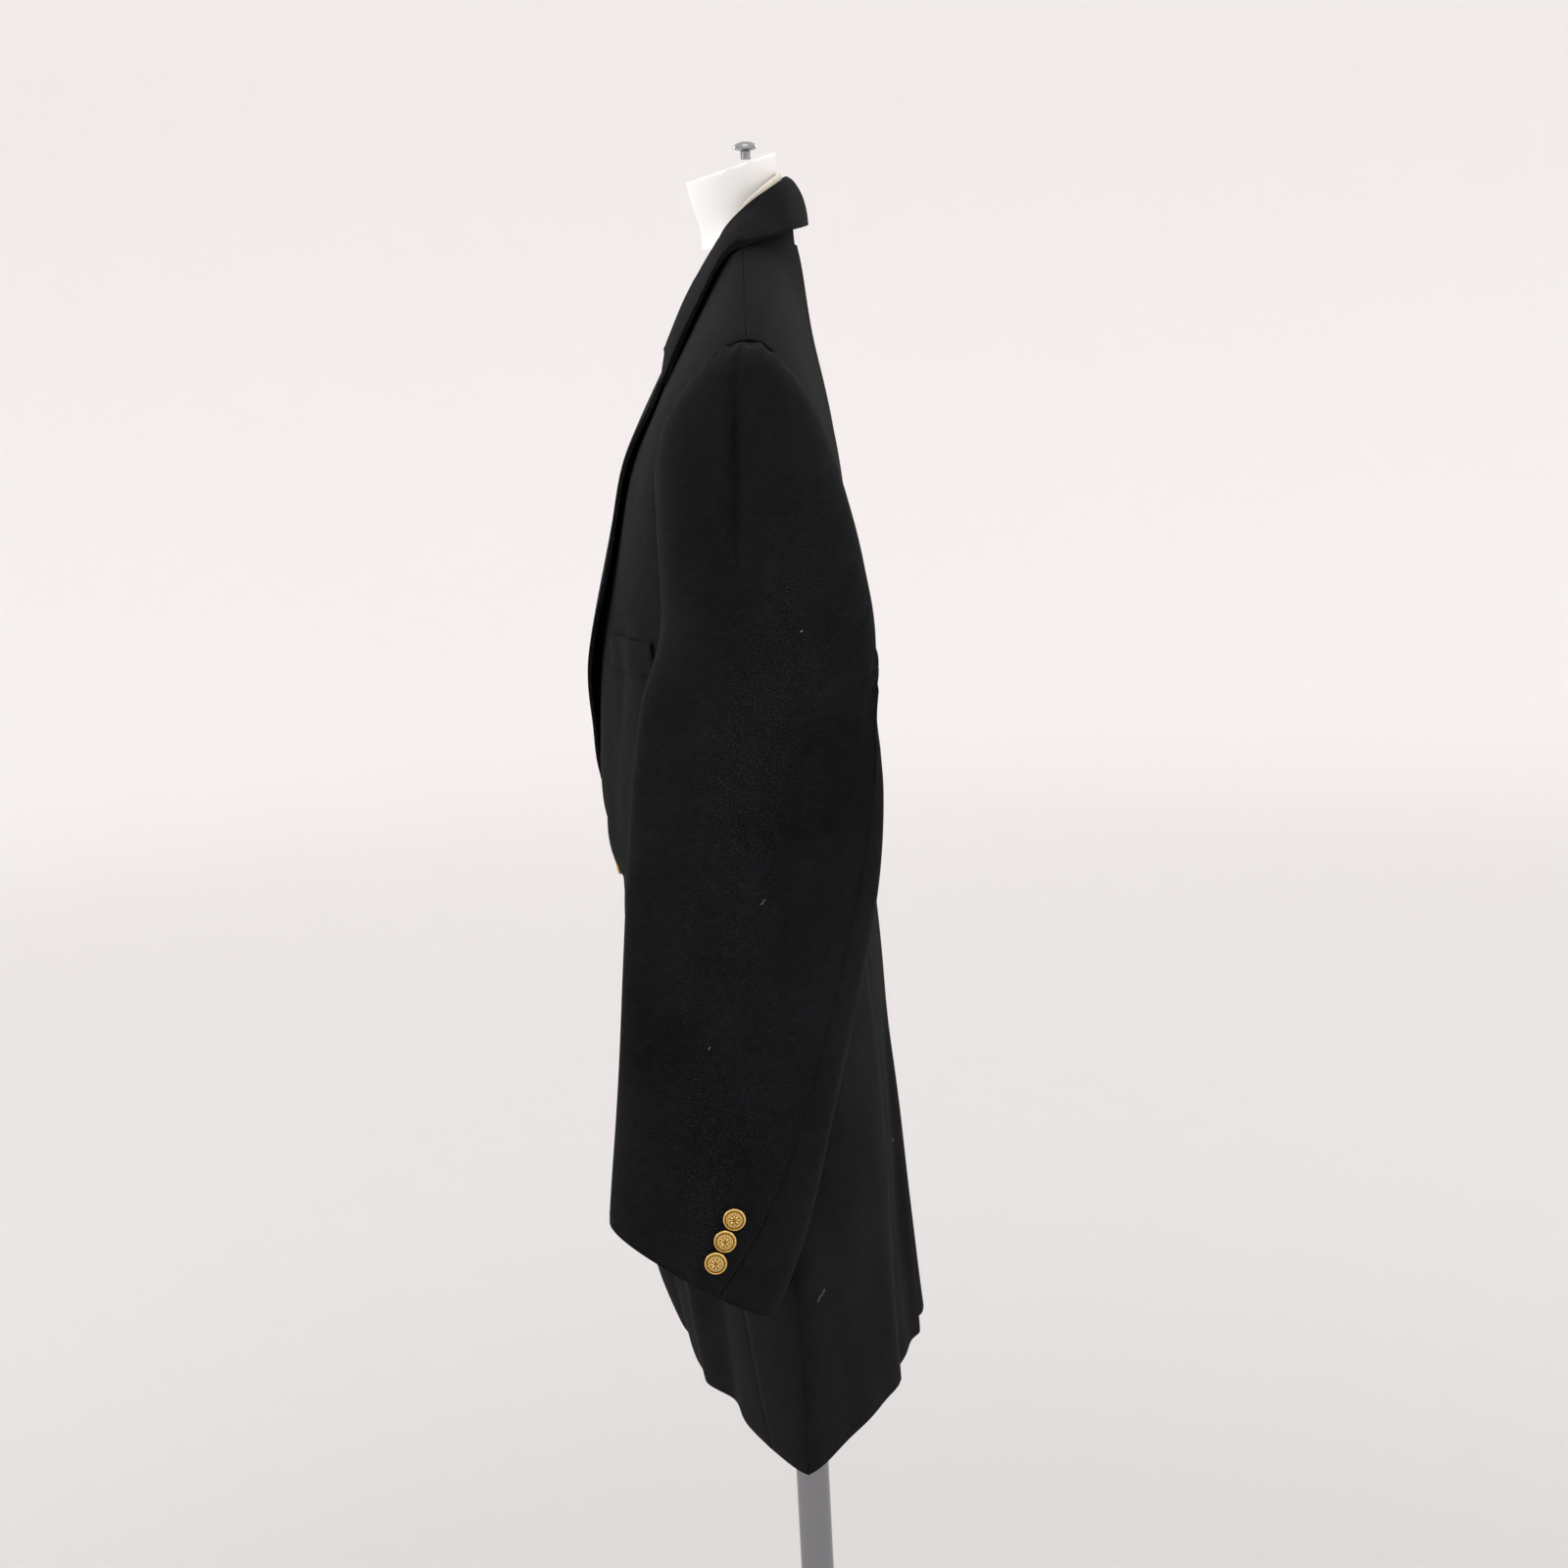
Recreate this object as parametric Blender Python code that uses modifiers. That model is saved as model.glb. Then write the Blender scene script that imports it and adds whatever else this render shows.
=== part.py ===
"""Blazer on a limbless dress form. Metres, +Z up, front facing -Y, wearer's left at +X.

The origin is on the floor, at the middle of the underside of the base.
"""
import math
from collections import namedtuple

import bmesh
import bpy
import numpy as np
from mathutils import Vector
from mathutils.bvhtree import BVHTree

# Cloth and its seams
CLOTH = 0.0020
LAPEL_CLOTH = 0.0026
SEAM_GAP = 0.0005
SHOULDER_GAP = 0.0007
PANEL_STEPS = 11
BACK_STEPS = 11
SIDE_STEPS = 9
SEAM_STEPS = 15
SLEEVE_STEPS = 14
FRONT_UNDERARM = 12
BACK_UNDERARM = 9

# Where the vents start, and how soon their edges part
VENT_TOP_Z = 0.900
VENT_RUN = 0.035

# Shoulder line, from the side of the neck to the shoulder point
NECK_X = 0.075
NECK_Z = 1.428
SHOULDER_X = 0.225
SHOULDER_Z = 1.3625
NECK_CURL = 0.150
SHOULDER_CURL = 0.075
BACK_NECK_DROP = 0.015

# Front closure, vents
OVERLAP_X = 0.020
UNDERLAP_DEPTH = 0.0045
UNDERLAP_REACH = 0.075
ROLL_RADIUS = 0.0026
ROLL_GAP = 0.0014
RIGHT_LAPEL_CLEAR = 0.0105
VENT_SPREAD = 0.0050
VENT_SINK = 0.0040
UNDERARM_CLEAR = 0.0028
UNDERARM_INSET = 0.03

# Hollow that a fastened button pulls into the fronts
DIMPLE_WIDTH = 0.016
DIMPLE_HEIGHT = 0.045

# Buttons
FRONT_BUTTON_RADIUS = 0.0100
FRONT_BUTTON_HEIGHT = 0.0052
CUFF_BUTTON_RADIUS = 0.0071
CUFF_BUTTON_HEIGHT = 0.0050
FRONT_BUTTON_CLEAR = 0.0008
CUFF_BUTTON_CLEAR = 0.0009
Fastening = namedtuple("Fastening", "name z dimple")
FASTENINGS = (
    Fastening("upper", 0.982, 0.0085),
    Fastening("lower", 0.888, 0.0050),
)
CUFF_BUTTON_PLACES = ((-0.0410, 0.8255), (-0.0475, 0.8122), (-0.0540, 0.7989))

# Dress form
POLE_RADIUS = 0.0125
BASE_RADIUS = 0.170
BASE_HEIGHT = 0.014
BASE_COLLAR_RADIUS = 0.030
BASE_COLLAR_HEIGHT = 0.040
FORM_BOTTOM_Z = 0.735
NECK_TILT = math.radians(16)

Body = namedtuple("Body", "z half_width centre front_depth front_power back_depth back_power")
BODY = (
    Body(0.600, 0.287, -0.002, 0.090, 1.25, 0.093, 1.32),
    Body(0.630, 0.283, -0.002, 0.095, 1.22, 0.0905, 1.31),
    Body(0.690, 0.275, -0.002, 0.110, 1.20, 0.0855, 1.38),
    Body(0.765, 0.264, -0.002, 0.114, 1.32, 0.0805, 1.55),
    Body(0.840, 0.252, -0.003, 0.113, 1.55, 0.0755, 1.75),
    Body(0.916, 0.236, -0.003, 0.1095, 1.80, 0.0710, 2.00),
    Body(0.980, 0.224, -0.004, 0.1165, 2.00, 0.0680, 2.20),
    Body(1.050, 0.223, -0.004, 0.1210, 2.10, 0.0660, 2.50),
    Body(1.090, 0.227, -0.004, 0.1180, 2.15, 0.0655, 2.75),
    Body(1.125, 0.233, -0.004, 0.1165, 2.20, 0.0660, 3.00),
    Body(1.165, 0.238, -0.005, 0.1090, 2.30, 0.0665, 3.40),
    Body(1.210, 0.243, -0.005, 0.0985, 2.50, 0.0645, 3.50),
    Body(1.250, 0.246, -0.005, 0.0890, 2.85, 0.0600, 3.50),
    Body(1.275, 0.248, -0.005, 0.0830, 3.20, 0.0570, 3.50),
    Body(1.310, 0.251, -0.005, 0.0670, 4.20, 0.0530, 3.50),
    Body(1.350, 0.253, -0.005, 0.0500, 5.00, 0.0460, 3.50),
    Body(1.400, 0.255, -0.005, 0.0320, 5.00, 0.0490, 3.50),
    Body(1.470, 0.256, -0.005, 0.0140, 5.00, 0.0560, 3.50),
)

# Armhole seam, from the shoulder point down to the underarm
Armhole = namedtuple("Armhole", "z x")
ARMHOLE = (
    Armhole(1.165, 0.2150),
    Armhole(1.200, 0.2120),
    Armhole(1.250, 0.2100),
    Armhole(1.290, 0.2115),
    Armhole(1.325, 0.2160),
    Armhole(1.348, 0.2210),
    Armhole(1.3625, 0.2250),
)

# Rows of a front, hem to shoulder: its edge at the middle or roll line, and its outer edge
Front = namedtuple("Front", "x_edge z_edge x_outer z_outer")
FRONT = (
    Front(0.085, 0.631, 0.240, 0.630),
    Front(0.050, 0.637, 0.231, 0.650),
    Front(0.022, 0.655, 0.222, 0.675),
    Front(0.003, 0.685, 0.213, 0.703),
    Front(-0.012, 0.728, 0.205, 0.742),
    Front(-0.019, 0.782, 0.196, 0.792),
    Front(-0.020, 0.850, 0.187, 0.858),
    Front(-0.020, 0.915, 0.180, 0.922),
    Front(-0.020, 0.975, 0.176, 0.982),
    Front(-0.0185, 1.026, 0.178, 1.032),
    Front(-0.0085, 1.070, 0.185, 1.077),
    Front(0.001, 1.112, 0.199, 1.122),
    Front(0.0115, 1.160, 0.215, 1.165),
    Front(0.0235, 1.209, 0.212, 1.205),
    Front(0.037, 1.258, 0.210, 1.250),
    Front(0.049, 1.304, 0.2115, 1.290),
    Front(0.0595, 1.345, 0.216, 1.325),
    Front(0.068, 1.386, 0.221, 1.348),
    Front(0.075, 1.428, 0.225, 1.3625),
)

# Rows of a back half, hem to shoulder
Back = namedtuple("Back", "x_outer z_outer z_centre")
BACK = (
    Back(0.168, 0.632, 0.628),
    Back(0.167, 0.700, 0.698),
    Back(0.165, 0.775, 0.775),
    Back(0.160, 0.835, 0.835),
    Back(0.1375, 0.880, 0.880),
    Back(0.134, 0.925, 0.925),
    Back(0.130, 0.985, 0.985),
    Back(0.140, 1.050, 1.050),
    Back(0.170, 1.115, 1.115),
    Back(0.215, 1.165, 1.170),
    Back(0.212, 1.205, 1.215),
    Back(0.210, 1.250, 1.265),
    Back(0.2115, 1.290, 1.310),
    Back(0.216, 1.325, 1.350),
    Back(0.221, 1.348, 1.387),
    Back(0.225, 1.3625, 1.413),
)

# Hind edge of the side panel, which laps over the back below the top of the vent
Side = namedtuple("Side", "z x_back")
SIDE = (
    Side(0.630, 0.1400),
    Side(0.700, 0.1395),
    Side(0.775, 0.1385),
    Side(0.835, 0.1380),
    Side(0.880, 0.1385),
    Side(0.900, 0.1385),
)

# Rows of a lapel, break to gorge
Lapel = namedtuple("Lapel", "z_roll x_outer z_outer lift")
LAPEL = (
    Lapel(1.046, -0.0080, 1.042, 0.0054),
    Lapel(1.070, 0.0080, 1.063, 0.0054),
    Lapel(1.094, 0.0240, 1.086, 0.0058),
    Lapel(1.120, 0.0410, 1.111, 0.0085),
    Lapel(1.145, 0.060, 1.134, 0.0095),
    Lapel(1.175, 0.077, 1.162, 0.0090),
    Lapel(1.210, 0.092, 1.196, 0.0080),
    Lapel(1.250, 0.104, 1.233, 0.0070),
    Lapel(1.290, 0.113, 1.270, 0.0065),
    Lapel(1.322, 0.119, 1.297, 0.0060),
    Lapel(1.345, 0.123, 1.316, 0.0055),
)

# Stations of the collar, from its end at the gorge round to the middle of the back
Collar = namedtuple("Collar", "x_seam z_seam x_top y_top z_top x_edge y_edge z_edge")
COLLAR = (
    Collar(0.0590, 1.3520, 0.0575, -0.0590, 1.354, 0.103, -0.0600, 1.337),
    Collar(0.0640, 1.3760, 0.0610, -0.0440, 1.385, 0.106, -0.0470, 1.364),
    Collar(0.0678, 1.4010, 0.0632, -0.0255, 1.413, 0.107, -0.0320, 1.390),
    Collar(0.0698, 1.4165, 0.0640, -0.0140, 1.4285, 0.107, -0.0200, 1.4105),
    Collar(0.0720, 1.4285, 0.0635, 0.0000, 1.4410, 0.105, -0.0040, 1.4225),
    Collar(0.0580, 1.4260, 0.0560, 0.0160, 1.4520, 0.083, 0.0260, 1.4200),
    Collar(0.0320, 1.4182, 0.0310, 0.0250, 1.4575, 0.047, 0.0370, 1.4240),
    Collar(0.0000, 1.4147, 0.0000, 0.0285, 1.4590, 0.000, 0.0405, 1.4255),
)
COLLAR_SHOULDER = 4

# Sleeve head above the underarm: height at the armhole, and its outermost point
Head = namedtuple("Head", "z_edge x_outer z_outer front_spread back_spread")
HEAD = (
    Head(1.3605, 0.2290, 1.3615, 0.000, 0.000),
    Head(1.3560, 0.2400, 1.3610, 0.000, 0.000),
    Head(1.3480, 0.2510, 1.3575, 0.000, 0.001),
    Head(1.3350, 0.2620, 1.3500, 0.000, 0.003),
    Head(1.3150, 0.2725, 1.3370, 0.001, 0.007),
    Head(1.2900, 0.2810, 1.3180, 0.002, 0.012),
    Head(1.2600, 0.2875, 1.2900, 0.003, 0.019),
    Head(1.2300, 0.2925, 1.2570, 0.006, 0.026),
    Head(1.2000, 0.2965, 1.2220, 0.010, 0.031),
    Head(1.1750, 0.2990, 1.1900, 0.015, 0.033),
)

# Rings of the sleeve below the underarm: front and back edge, inner and outer side, and where
# the seams cross them: the front one as a turn from the front edge, the hind one by its depth,
# and the width of the gap at both
Sleeve = namedtuple("Sleeve", "y_front z_front y_back z_back x_in x_out turn_front y_seam gap")
SLEEVE = (
    Sleeve(-0.0815, 1.1500, 0.0665, 1.1480, 0.2420, 0.3015, -0.60, 0.0660, 0.0034),
    Sleeve(-0.0860, 1.1200, 0.0670, 1.1150, 0.2425, 0.3040, -0.70, 0.0640, 0.0014),
    Sleeve(-0.0915, 1.0850, 0.0665, 1.0730, 0.2430, 0.3070, -0.75, 0.0580, 0.0009),
    Sleeve(-0.0960, 1.0450, 0.0625, 1.0270, 0.2440, 0.3100, -0.80, 0.0490, 0.0009),
    Sleeve(-0.0995, 1.0050, 0.0530, 0.9830, 0.2460, 0.3130, -0.80, 0.0370, 0.0009),
    Sleeve(-0.1035, 0.9650, 0.0410, 0.9370, 0.2490, 0.3160, -0.80, 0.0240, 0.0009),
    Sleeve(-0.1080, 0.9200, 0.0285, 0.8880, 0.2530, 0.3200, -0.80, 0.0095, 0.0009),
    Sleeve(-0.1125, 0.8780, 0.0165, 0.8400, 0.2570, 0.3240, -0.80, -0.0080, 0.0009),
    Sleeve(-0.1165, 0.8460, 0.0020, 0.7930, 0.2620, 0.3290, -0.80, -0.0300, 0.0009),
    Sleeve(-0.1195, 0.8200, -0.0165, 0.7530, 0.2680, 0.3340, -0.80, -0.0530, 0.0009),
)
RING_POWER = 0.85

# Soft troughs down the outside of a sleeve: place, half-width and depth at each height
Trough = namedtuple("Trough", "z_top z_bottom y_top y_bottom half_width depth")
SLEEVE_TROUGHS = (
    Trough(1.345, 1.130, -0.011, -0.012, 0.012, 0.0050),
    Trough(1.190, 0.900, -0.004, -0.010, 0.016, 0.0038),
    Trough(1.080, 0.860, 0.026, -0.018, 0.012, 0.0030),
    Trough(1.000, 0.790, -0.066, -0.084, 0.014, 0.0030),
)
# The same down the body, by distance from the middle line: fronts first, then backs
FRONT_TROUGHS = (
    Trough(1.150, 0.980, 0.125, 0.085, 0.016, 0.0040),
    Trough(0.940, 0.600, 0.060, 0.055, 0.020, 0.0050),
    Trough(0.860, 0.600, 0.150, 0.165, 0.022, 0.0060),
)
BACK_TROUGHS = (
    Trough(1.260, 0.960, 0.150, 0.085, 0.022, 0.0050),
    Trough(0.900, 0.600, 0.060, 0.070, 0.022, 0.0045),
    Trough(1.380, 1.290, 0.020, 0.060, 0.014, 0.0022),
)

# Dress form sections, bottom to the foot of the neck; chest is how far the breastbone stands out
Torso = namedtuple("Torso", "z half_width y_front y_back power chest")
TORSO = (
    Torso(0.735, 0.150, -0.060, 0.052, 2.0, 0.0),
    Torso(0.790, 0.165, -0.070, 0.058, 2.1, 0.0),
    Torso(0.860, 0.168, -0.076, 0.056, 2.2, 0.0),
    Torso(0.940, 0.150, -0.078, 0.050, 2.3, 0.0),
    Torso(1.010, 0.146, -0.086, 0.049, 2.3, 0.0),
    Torso(1.080, 0.160, -0.095, 0.051, 2.3, 0.0),
    Torso(1.150, 0.176, -0.094, 0.054, 2.4, 0.0),
    Torso(1.220, 0.186, -0.082, 0.050, 2.5, 0.0),
    Torso(1.270, 0.186, -0.069, 0.043, 2.6, 0.0),
    Torso(1.310, 0.184, -0.060, 0.036, 2.3, 0.004),
    Torso(1.345, 0.184, -0.046, 0.029, 2.0, 0.010),
    Torso(1.370, 0.180, -0.038, 0.025, 1.8, 0.018),
    Torso(1.385, 0.1697, -0.032, 0.022, 1.6, 0.014),
    Torso(1.395, 0.1468, -0.028, 0.019, 1.6, 0.010),
    Torso(1.405, 0.1239, -0.024, 0.016, 1.6, 0.006),
    Torso(1.413, 0.1056, -0.020, 0.013, 1.6, 0.002),
)
TORSO_RINGS = 11
SHOULDER_RINGS = 6
CHEST_WIDTH = 0.035
Neck = namedtuple("Neck", "along radius_x radius_y y")
NECK = (
    Neck(1.4134, 0.0400, 0.0270, -0.0065),
    Neck(1.4260, 0.0375, 0.0265, -0.0070),
    Neck(1.4360, 0.0375, 0.0275, -0.0080),
    Neck(1.4500, 0.0387, 0.0297, -0.0097),
    Neck(1.4680, 0.0400, 0.0318, -0.0105),
)


def read(rows, key, at, name):
    """The value of a column at a place between rows, on a smooth curve through them."""
    places = [getattr(row, key) for row in rows]
    values = [getattr(row, name) for row in rows]
    if places[0] > places[-1]:
        places.reverse()
        values.reverse()
    at = min(max(at, places[0]), places[-1])
    k = min(max(int(np.searchsorted(places, at)) - 1, 0), len(places) - 2)
    step = places[k + 1] - places[k]
    t = (at - places[k]) / step
    slope = (values[k + 1] - values[k]) / step
    before = slope if k == 0 else (values[k] - values[k - 1]) / (places[k] - places[k - 1])
    last = k + 2 == len(places)
    after = slope if last else (values[k + 2] - values[k + 1]) / (places[k + 2] - places[k + 1])
    m0 = tangent(before, slope) * step
    m1 = tangent(slope, after) * step
    rise = values[k + 1] - values[k]
    return values[k] + m0 * t + (3 * rise - 2 * m0 - m1) * t * t + (m0 + m1 - 2 * rise) * t ** 3


def tangent(before, after):
    """A slope at a row that never overshoots its neighbours."""
    if before * after <= 0:
        return 0.0
    return 2 * before * after / (before + after)


def by_row(rows, place, name):
    """The value of a column at a fractional row number."""
    k = min(int(place), len(rows) - 2)
    t = place - k
    values = [getattr(row, name) for row in rows]
    before = values[k] - values[k - 1] if k > 0 else values[k + 1] - values[k]
    slope = values[k + 1] - values[k]
    after = values[k + 2] - values[k + 1] if k + 2 < len(values) else slope
    m0 = (before + slope) / 2
    m1 = (slope + after) / 2
    return values[k] + m0 * t + (3 * slope - 2 * m0 - m1) * t * t + (m0 + m1 - 2 * slope) * t ** 3


def shoulder_z(x):
    """Height of the shoulder line at a distance from the middle."""
    along = (abs(x) - NECK_X) / (SHOULDER_X - NECK_X)
    return NECK_Z + (SHOULDER_Z - NECK_Z) * along


def over_shoulder(x, z):
    """How far the cloth has left the shoulder line: 0 on it, 1 below its curve."""
    along = min(max((abs(x) - NECK_X) / (SHOULDER_X - NECK_X), 0), 1)
    curl = NECK_CURL + (SHOULDER_CURL - NECK_CURL) * along
    t = min(max((shoulder_z(x) - z) / curl, 0), 1)
    return math.sqrt(1 - (1 - t) ** 2)


def trough_depth(troughs, across, z):
    """Depth of the soft folds at a place on the cloth."""
    total = 0.0
    for fold in troughs:
        along = (fold.z_top - z) / (fold.z_top - fold.z_bottom)
        if 0 < along < 1:
            middle = fold.y_top + (fold.y_bottom - fold.y_top) * along
            fade = math.sin(math.pi * along) ** 0.6
            total += fold.depth * fade * math.exp(-((across - middle) / fold.half_width) ** 2)
    return total


def front_y(x, z):
    """Depth of the front of the body at a distance from the middle and a height."""
    half = read(BODY, "z", z, "half_width")
    power = read(BODY, "z", z, "front_power")
    share = max(1 - min(abs(x) / half, 1) ** power, 0) ** (1 / power)
    reach = read(BODY, "z", z, "front_depth") * share * over_shoulder(x, z)
    fold = trough_depth(FRONT_TROUGHS, abs(x), z) * min(reach / 0.04, 1)
    return read(BODY, "z", z, "centre") - reach + fold + dimple(x, z)


def dimple(x, z):
    """How far the fastened buttons pull the fronts in."""
    total = 0.0
    for fastening in FASTENINGS:
        away = (x / DIMPLE_WIDTH) ** 2 + ((z - fastening.z) / DIMPLE_HEIGHT) ** 2
        total += fastening.dimple * math.exp(-away)
    return total


def back_y(x, z):
    """Depth of the back of the body at a distance from the middle and a height."""
    half = read(BODY, "z", z, "half_width")
    power = read(BODY, "z", z, "back_power")
    share = max(1 - min(abs(x) / half, 1) ** power, 0) ** (1 / power)
    reach = read(BODY, "z", z, "back_depth") * share * over_shoulder(x, z)
    fold = trough_depth(BACK_TROUGHS, abs(x), z) * min(reach / 0.04, 1)
    return read(BODY, "z", z, "centre") + reach - fold


def loft(name, rows, colour, roughness, metallic=0.0, cloth=CLOTH, flip=False, mirror=False):
    """A wall of cloth through rows of points, all of one length."""
    mesh = bpy.data.meshes.new(name)
    form = bmesh.new()
    grid = []
    for row in rows:
        side = -1 if mirror else 1
        grid.append([form.verts.new((side * p[0], p[1], p[2])) for p in row])
    for low, high in zip(grid, grid[1:]):
        for k in range(len(low) - 1):
            corners = [low[k], low[k + 1], high[k + 1], high[k]]
            if flip != mirror:
                corners.reverse()
            form.faces.new(corners)
    form.to_mesh(mesh)
    form.free()
    part = place(name, mesh, colour, roughness, metallic)
    wall = part.modifiers.new("Cloth", "SOLIDIFY")
    wall.thickness = cloth
    wall.offset = 0
    return part


def place(name, mesh, colour, roughness, metallic=0.0):
    """An object for a mesh, in the blazer's collection, with a material of its own."""
    part = bpy.data.objects.new(name, mesh)
    PARTS.objects.link(part)
    material = bpy.data.materials.new(name)
    material.use_nodes = True
    shader = material.node_tree.nodes["Principled BSDF"]
    shader.inputs["Base Color"].default_value = (*colour, 1)
    shader.inputs["Roughness"].default_value = roughness
    shader.inputs["Metallic"].default_value = metallic
    mesh.materials.append(material)
    return part


def closed_loft(name, rings, colour, roughness, metallic=0.0):
    """A solid through closed rings of one length, capped at both ends."""
    mesh = bpy.data.meshes.new(name)
    form = bmesh.new()
    grid = [[form.verts.new(p) for p in ring] for ring in rings]
    count = len(grid[0])
    for low, high in zip(grid, grid[1:]):
        for k in range(count):
            after = (k + 1) % count
            form.faces.new((low[k], low[after], high[after], high[k]))
    form.faces.new(list(reversed(grid[0])))
    form.faces.new(grid[-1])
    bmesh.ops.recalc_face_normals(form, faces=form.faces)
    form.to_mesh(mesh)
    form.free()
    mesh.shade_smooth()
    mesh.set_sharp_from_angle(angle=math.radians(40))
    return place(name, mesh, colour, roughness, metallic)


def turned(name, profile, colour, roughness, metallic, steps):
    """A turned piece about its own Z axis; the profile runs down its outer side."""
    mesh = bpy.data.meshes.new(name)
    points = [(radius, 0, height) for radius, height in profile]
    mesh.from_pydata(points, [(k, k + 1) for k in range(len(points) - 1)], [])
    part = place(name, mesh, colour, roughness, metallic)
    screw = part.modifiers.new("Turn", "SCREW")
    screw.steps = steps
    screw.render_steps = steps
    screw.use_merge_vertices = True
    screw.merge_threshold = 0.0001
    return part


WOOL = (0.0085, 0.0085, 0.0100)
BRASS = (0.72, 0.47, 0.17)
PALE_PLASTIC = (0.72, 0.71, 0.70)
CHROME = (0.62, 0.62, 0.63)


def seam_places(underarm):
    """Row numbers from the hem to the underarm, the same count on every panel."""
    return list(np.linspace(0, underarm, SEAM_STEPS + 1))


def front_rows(left):
    """Points of a front: 4 close rows at the shoulder, where the cloth turns over it."""
    places = seam_places(FRONT_UNDERARM) + list(np.linspace(FRONT_UNDERARM, 17, 7))[1:]
    places += [17.5, 17.8, 17.95, 18.0]
    rows = []
    for row in places:
        x_edge = by_row(FRONT, row, "x_edge")
        z_edge = by_row(FRONT, row, "z_edge")
        x_outer = by_row(FRONT, row, "x_outer") - SEAM_GAP / 2
        z_outer = by_row(FRONT, row, "z_outer")
        top = min(max(row - 17, 0), 1)
        points = []
        for k in range(PANEL_STEPS + 1):
            share = k / PANEL_STEPS
            x = x_edge + (x_outer - x_edge) * share
            z = z_edge + (z_outer - z_edge) * share
            z += (shoulder_z(x) - z) * top
            y = front_y(x, z) - SHOULDER_GAP / 2 * over_seam(x, z)
            if not left:
                y += underlap(x)
            points.append((x, y, z))
        rows.append(points)
    return rows


def over_seam(x, z):
    """1 on the shoulder line, falling to 0 a hand's breadth below it."""
    return max(1 - (shoulder_z(x) - z) / 0.05, 0)


def back_rows():
    """Points of a back half, with a sunk underlap below the top of the vent."""
    places = seam_places(BACK_UNDERARM) + list(np.linspace(BACK_UNDERARM, 14, 6))[1:]
    places += [14.5, 14.8, 14.95, 15.0]
    rows = []
    for row in places:
        x_outer = by_row(BACK, row, "x_outer") - SEAM_GAP / 2
        z_outer = by_row(BACK, row, "z_outer")
        z_centre = by_row(BACK, row, "z_centre")
        top = min(max((row - 12) / 3, 0), 1)
        points = []
        for k in range(BACK_STEPS + 1):
            share = k / BACK_STEPS
            x = SEAM_GAP / 2 + (x_outer - SEAM_GAP / 2) * share
            z = z_centre + (z_outer - z_centre) * share
            z += (back_top_z(x) - z) * top ** 2
            y = back_y(x, z) + SHOULDER_GAP / 2 * over_seam(x, z)
            open_vent = vent_opening(z)
            y -= VENT_SINK * open_vent * min(max((x - 0.095) / 0.05, 0), 1)
            points.append((x, y, z))
        rows.append(points)
    return rows


def vent_opening(z):
    """0 above the vent, 1 where its two edges have parted."""
    return min(max((VENT_TOP_Z - z) / VENT_RUN, 0), 1)


def back_top_z(x):
    """Top edge of the back: the neck curve, then the shoulder line."""
    if x >= NECK_X:
        return shoulder_z(x)
    return NECK_Z - BACK_NECK_DROP * (1 - (x / NECK_X) ** 2)


def side_rows():
    """Points of a side panel, whose hind edge spreads over the back below the vent."""
    rows = []
    for ahead_place, back_place in zip(seam_places(FRONT_UNDERARM), seam_places(BACK_UNDERARM)):
        z_front = by_row(FRONT, ahead_place, "z_outer")
        z_back = by_row(BACK, back_place, "z_outer")
        x_front = by_row(FRONT, ahead_place, "x_outer") + SEAM_GAP / 2
        x_back = by_row(BACK, back_place, "x_outer") + SEAM_GAP / 2
        if z_back < SIDE[-1].z:
            x_back = min(read(SIDE, "z", z_back, "x_back"), x_back)
        front_turn = turn_at(x_front, z_front, "front_power")
        back_turn = turn_at(x_back, z_back, "back_power")
        points = []
        for k in range(SIDE_STEPS + 1):
            share = k / SIDE_STEPS
            turn = -front_turn + (back_turn + front_turn) * share
            z = z_front + (z_back - z_front) * share
            power = read(BODY, "z", z, "front_power" if turn < 0 else "back_power")
            x = read(BODY, "z", z, "half_width") * math.cos(turn) ** (2 / power)
            if k == 0:
                x = x_front
            if k == SIDE_STEPS:
                x = x_back
            if turn < 0:
                y = front_y(x, z)
            else:
                y = back_y(x, z) + VENT_SPREAD * vent_opening(z) * (turn / back_turn) ** 2
            points.append((x, y, z))
        rows.append(points)
    return rows


def turn_at(x, z, power):
    """The turn from the widest point at which a ring of the body has this width."""
    share = min(x / read(BODY, "z", z, "half_width"), 1)
    return math.acos(share ** (read(BODY, "z", z, power) / 2))


def roll_x(z):
    """Distance of the roll line from the middle, at a height."""
    return read(FRONT, "z_edge", z, "x_edge")


def underlap(x):
    """How far the right front lies behind the left one, by distance past its own edge."""
    return UNDERLAP_DEPTH * math.exp(-(max(x + OVERLAP_X, 0) / UNDERLAP_REACH) ** 4)


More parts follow.
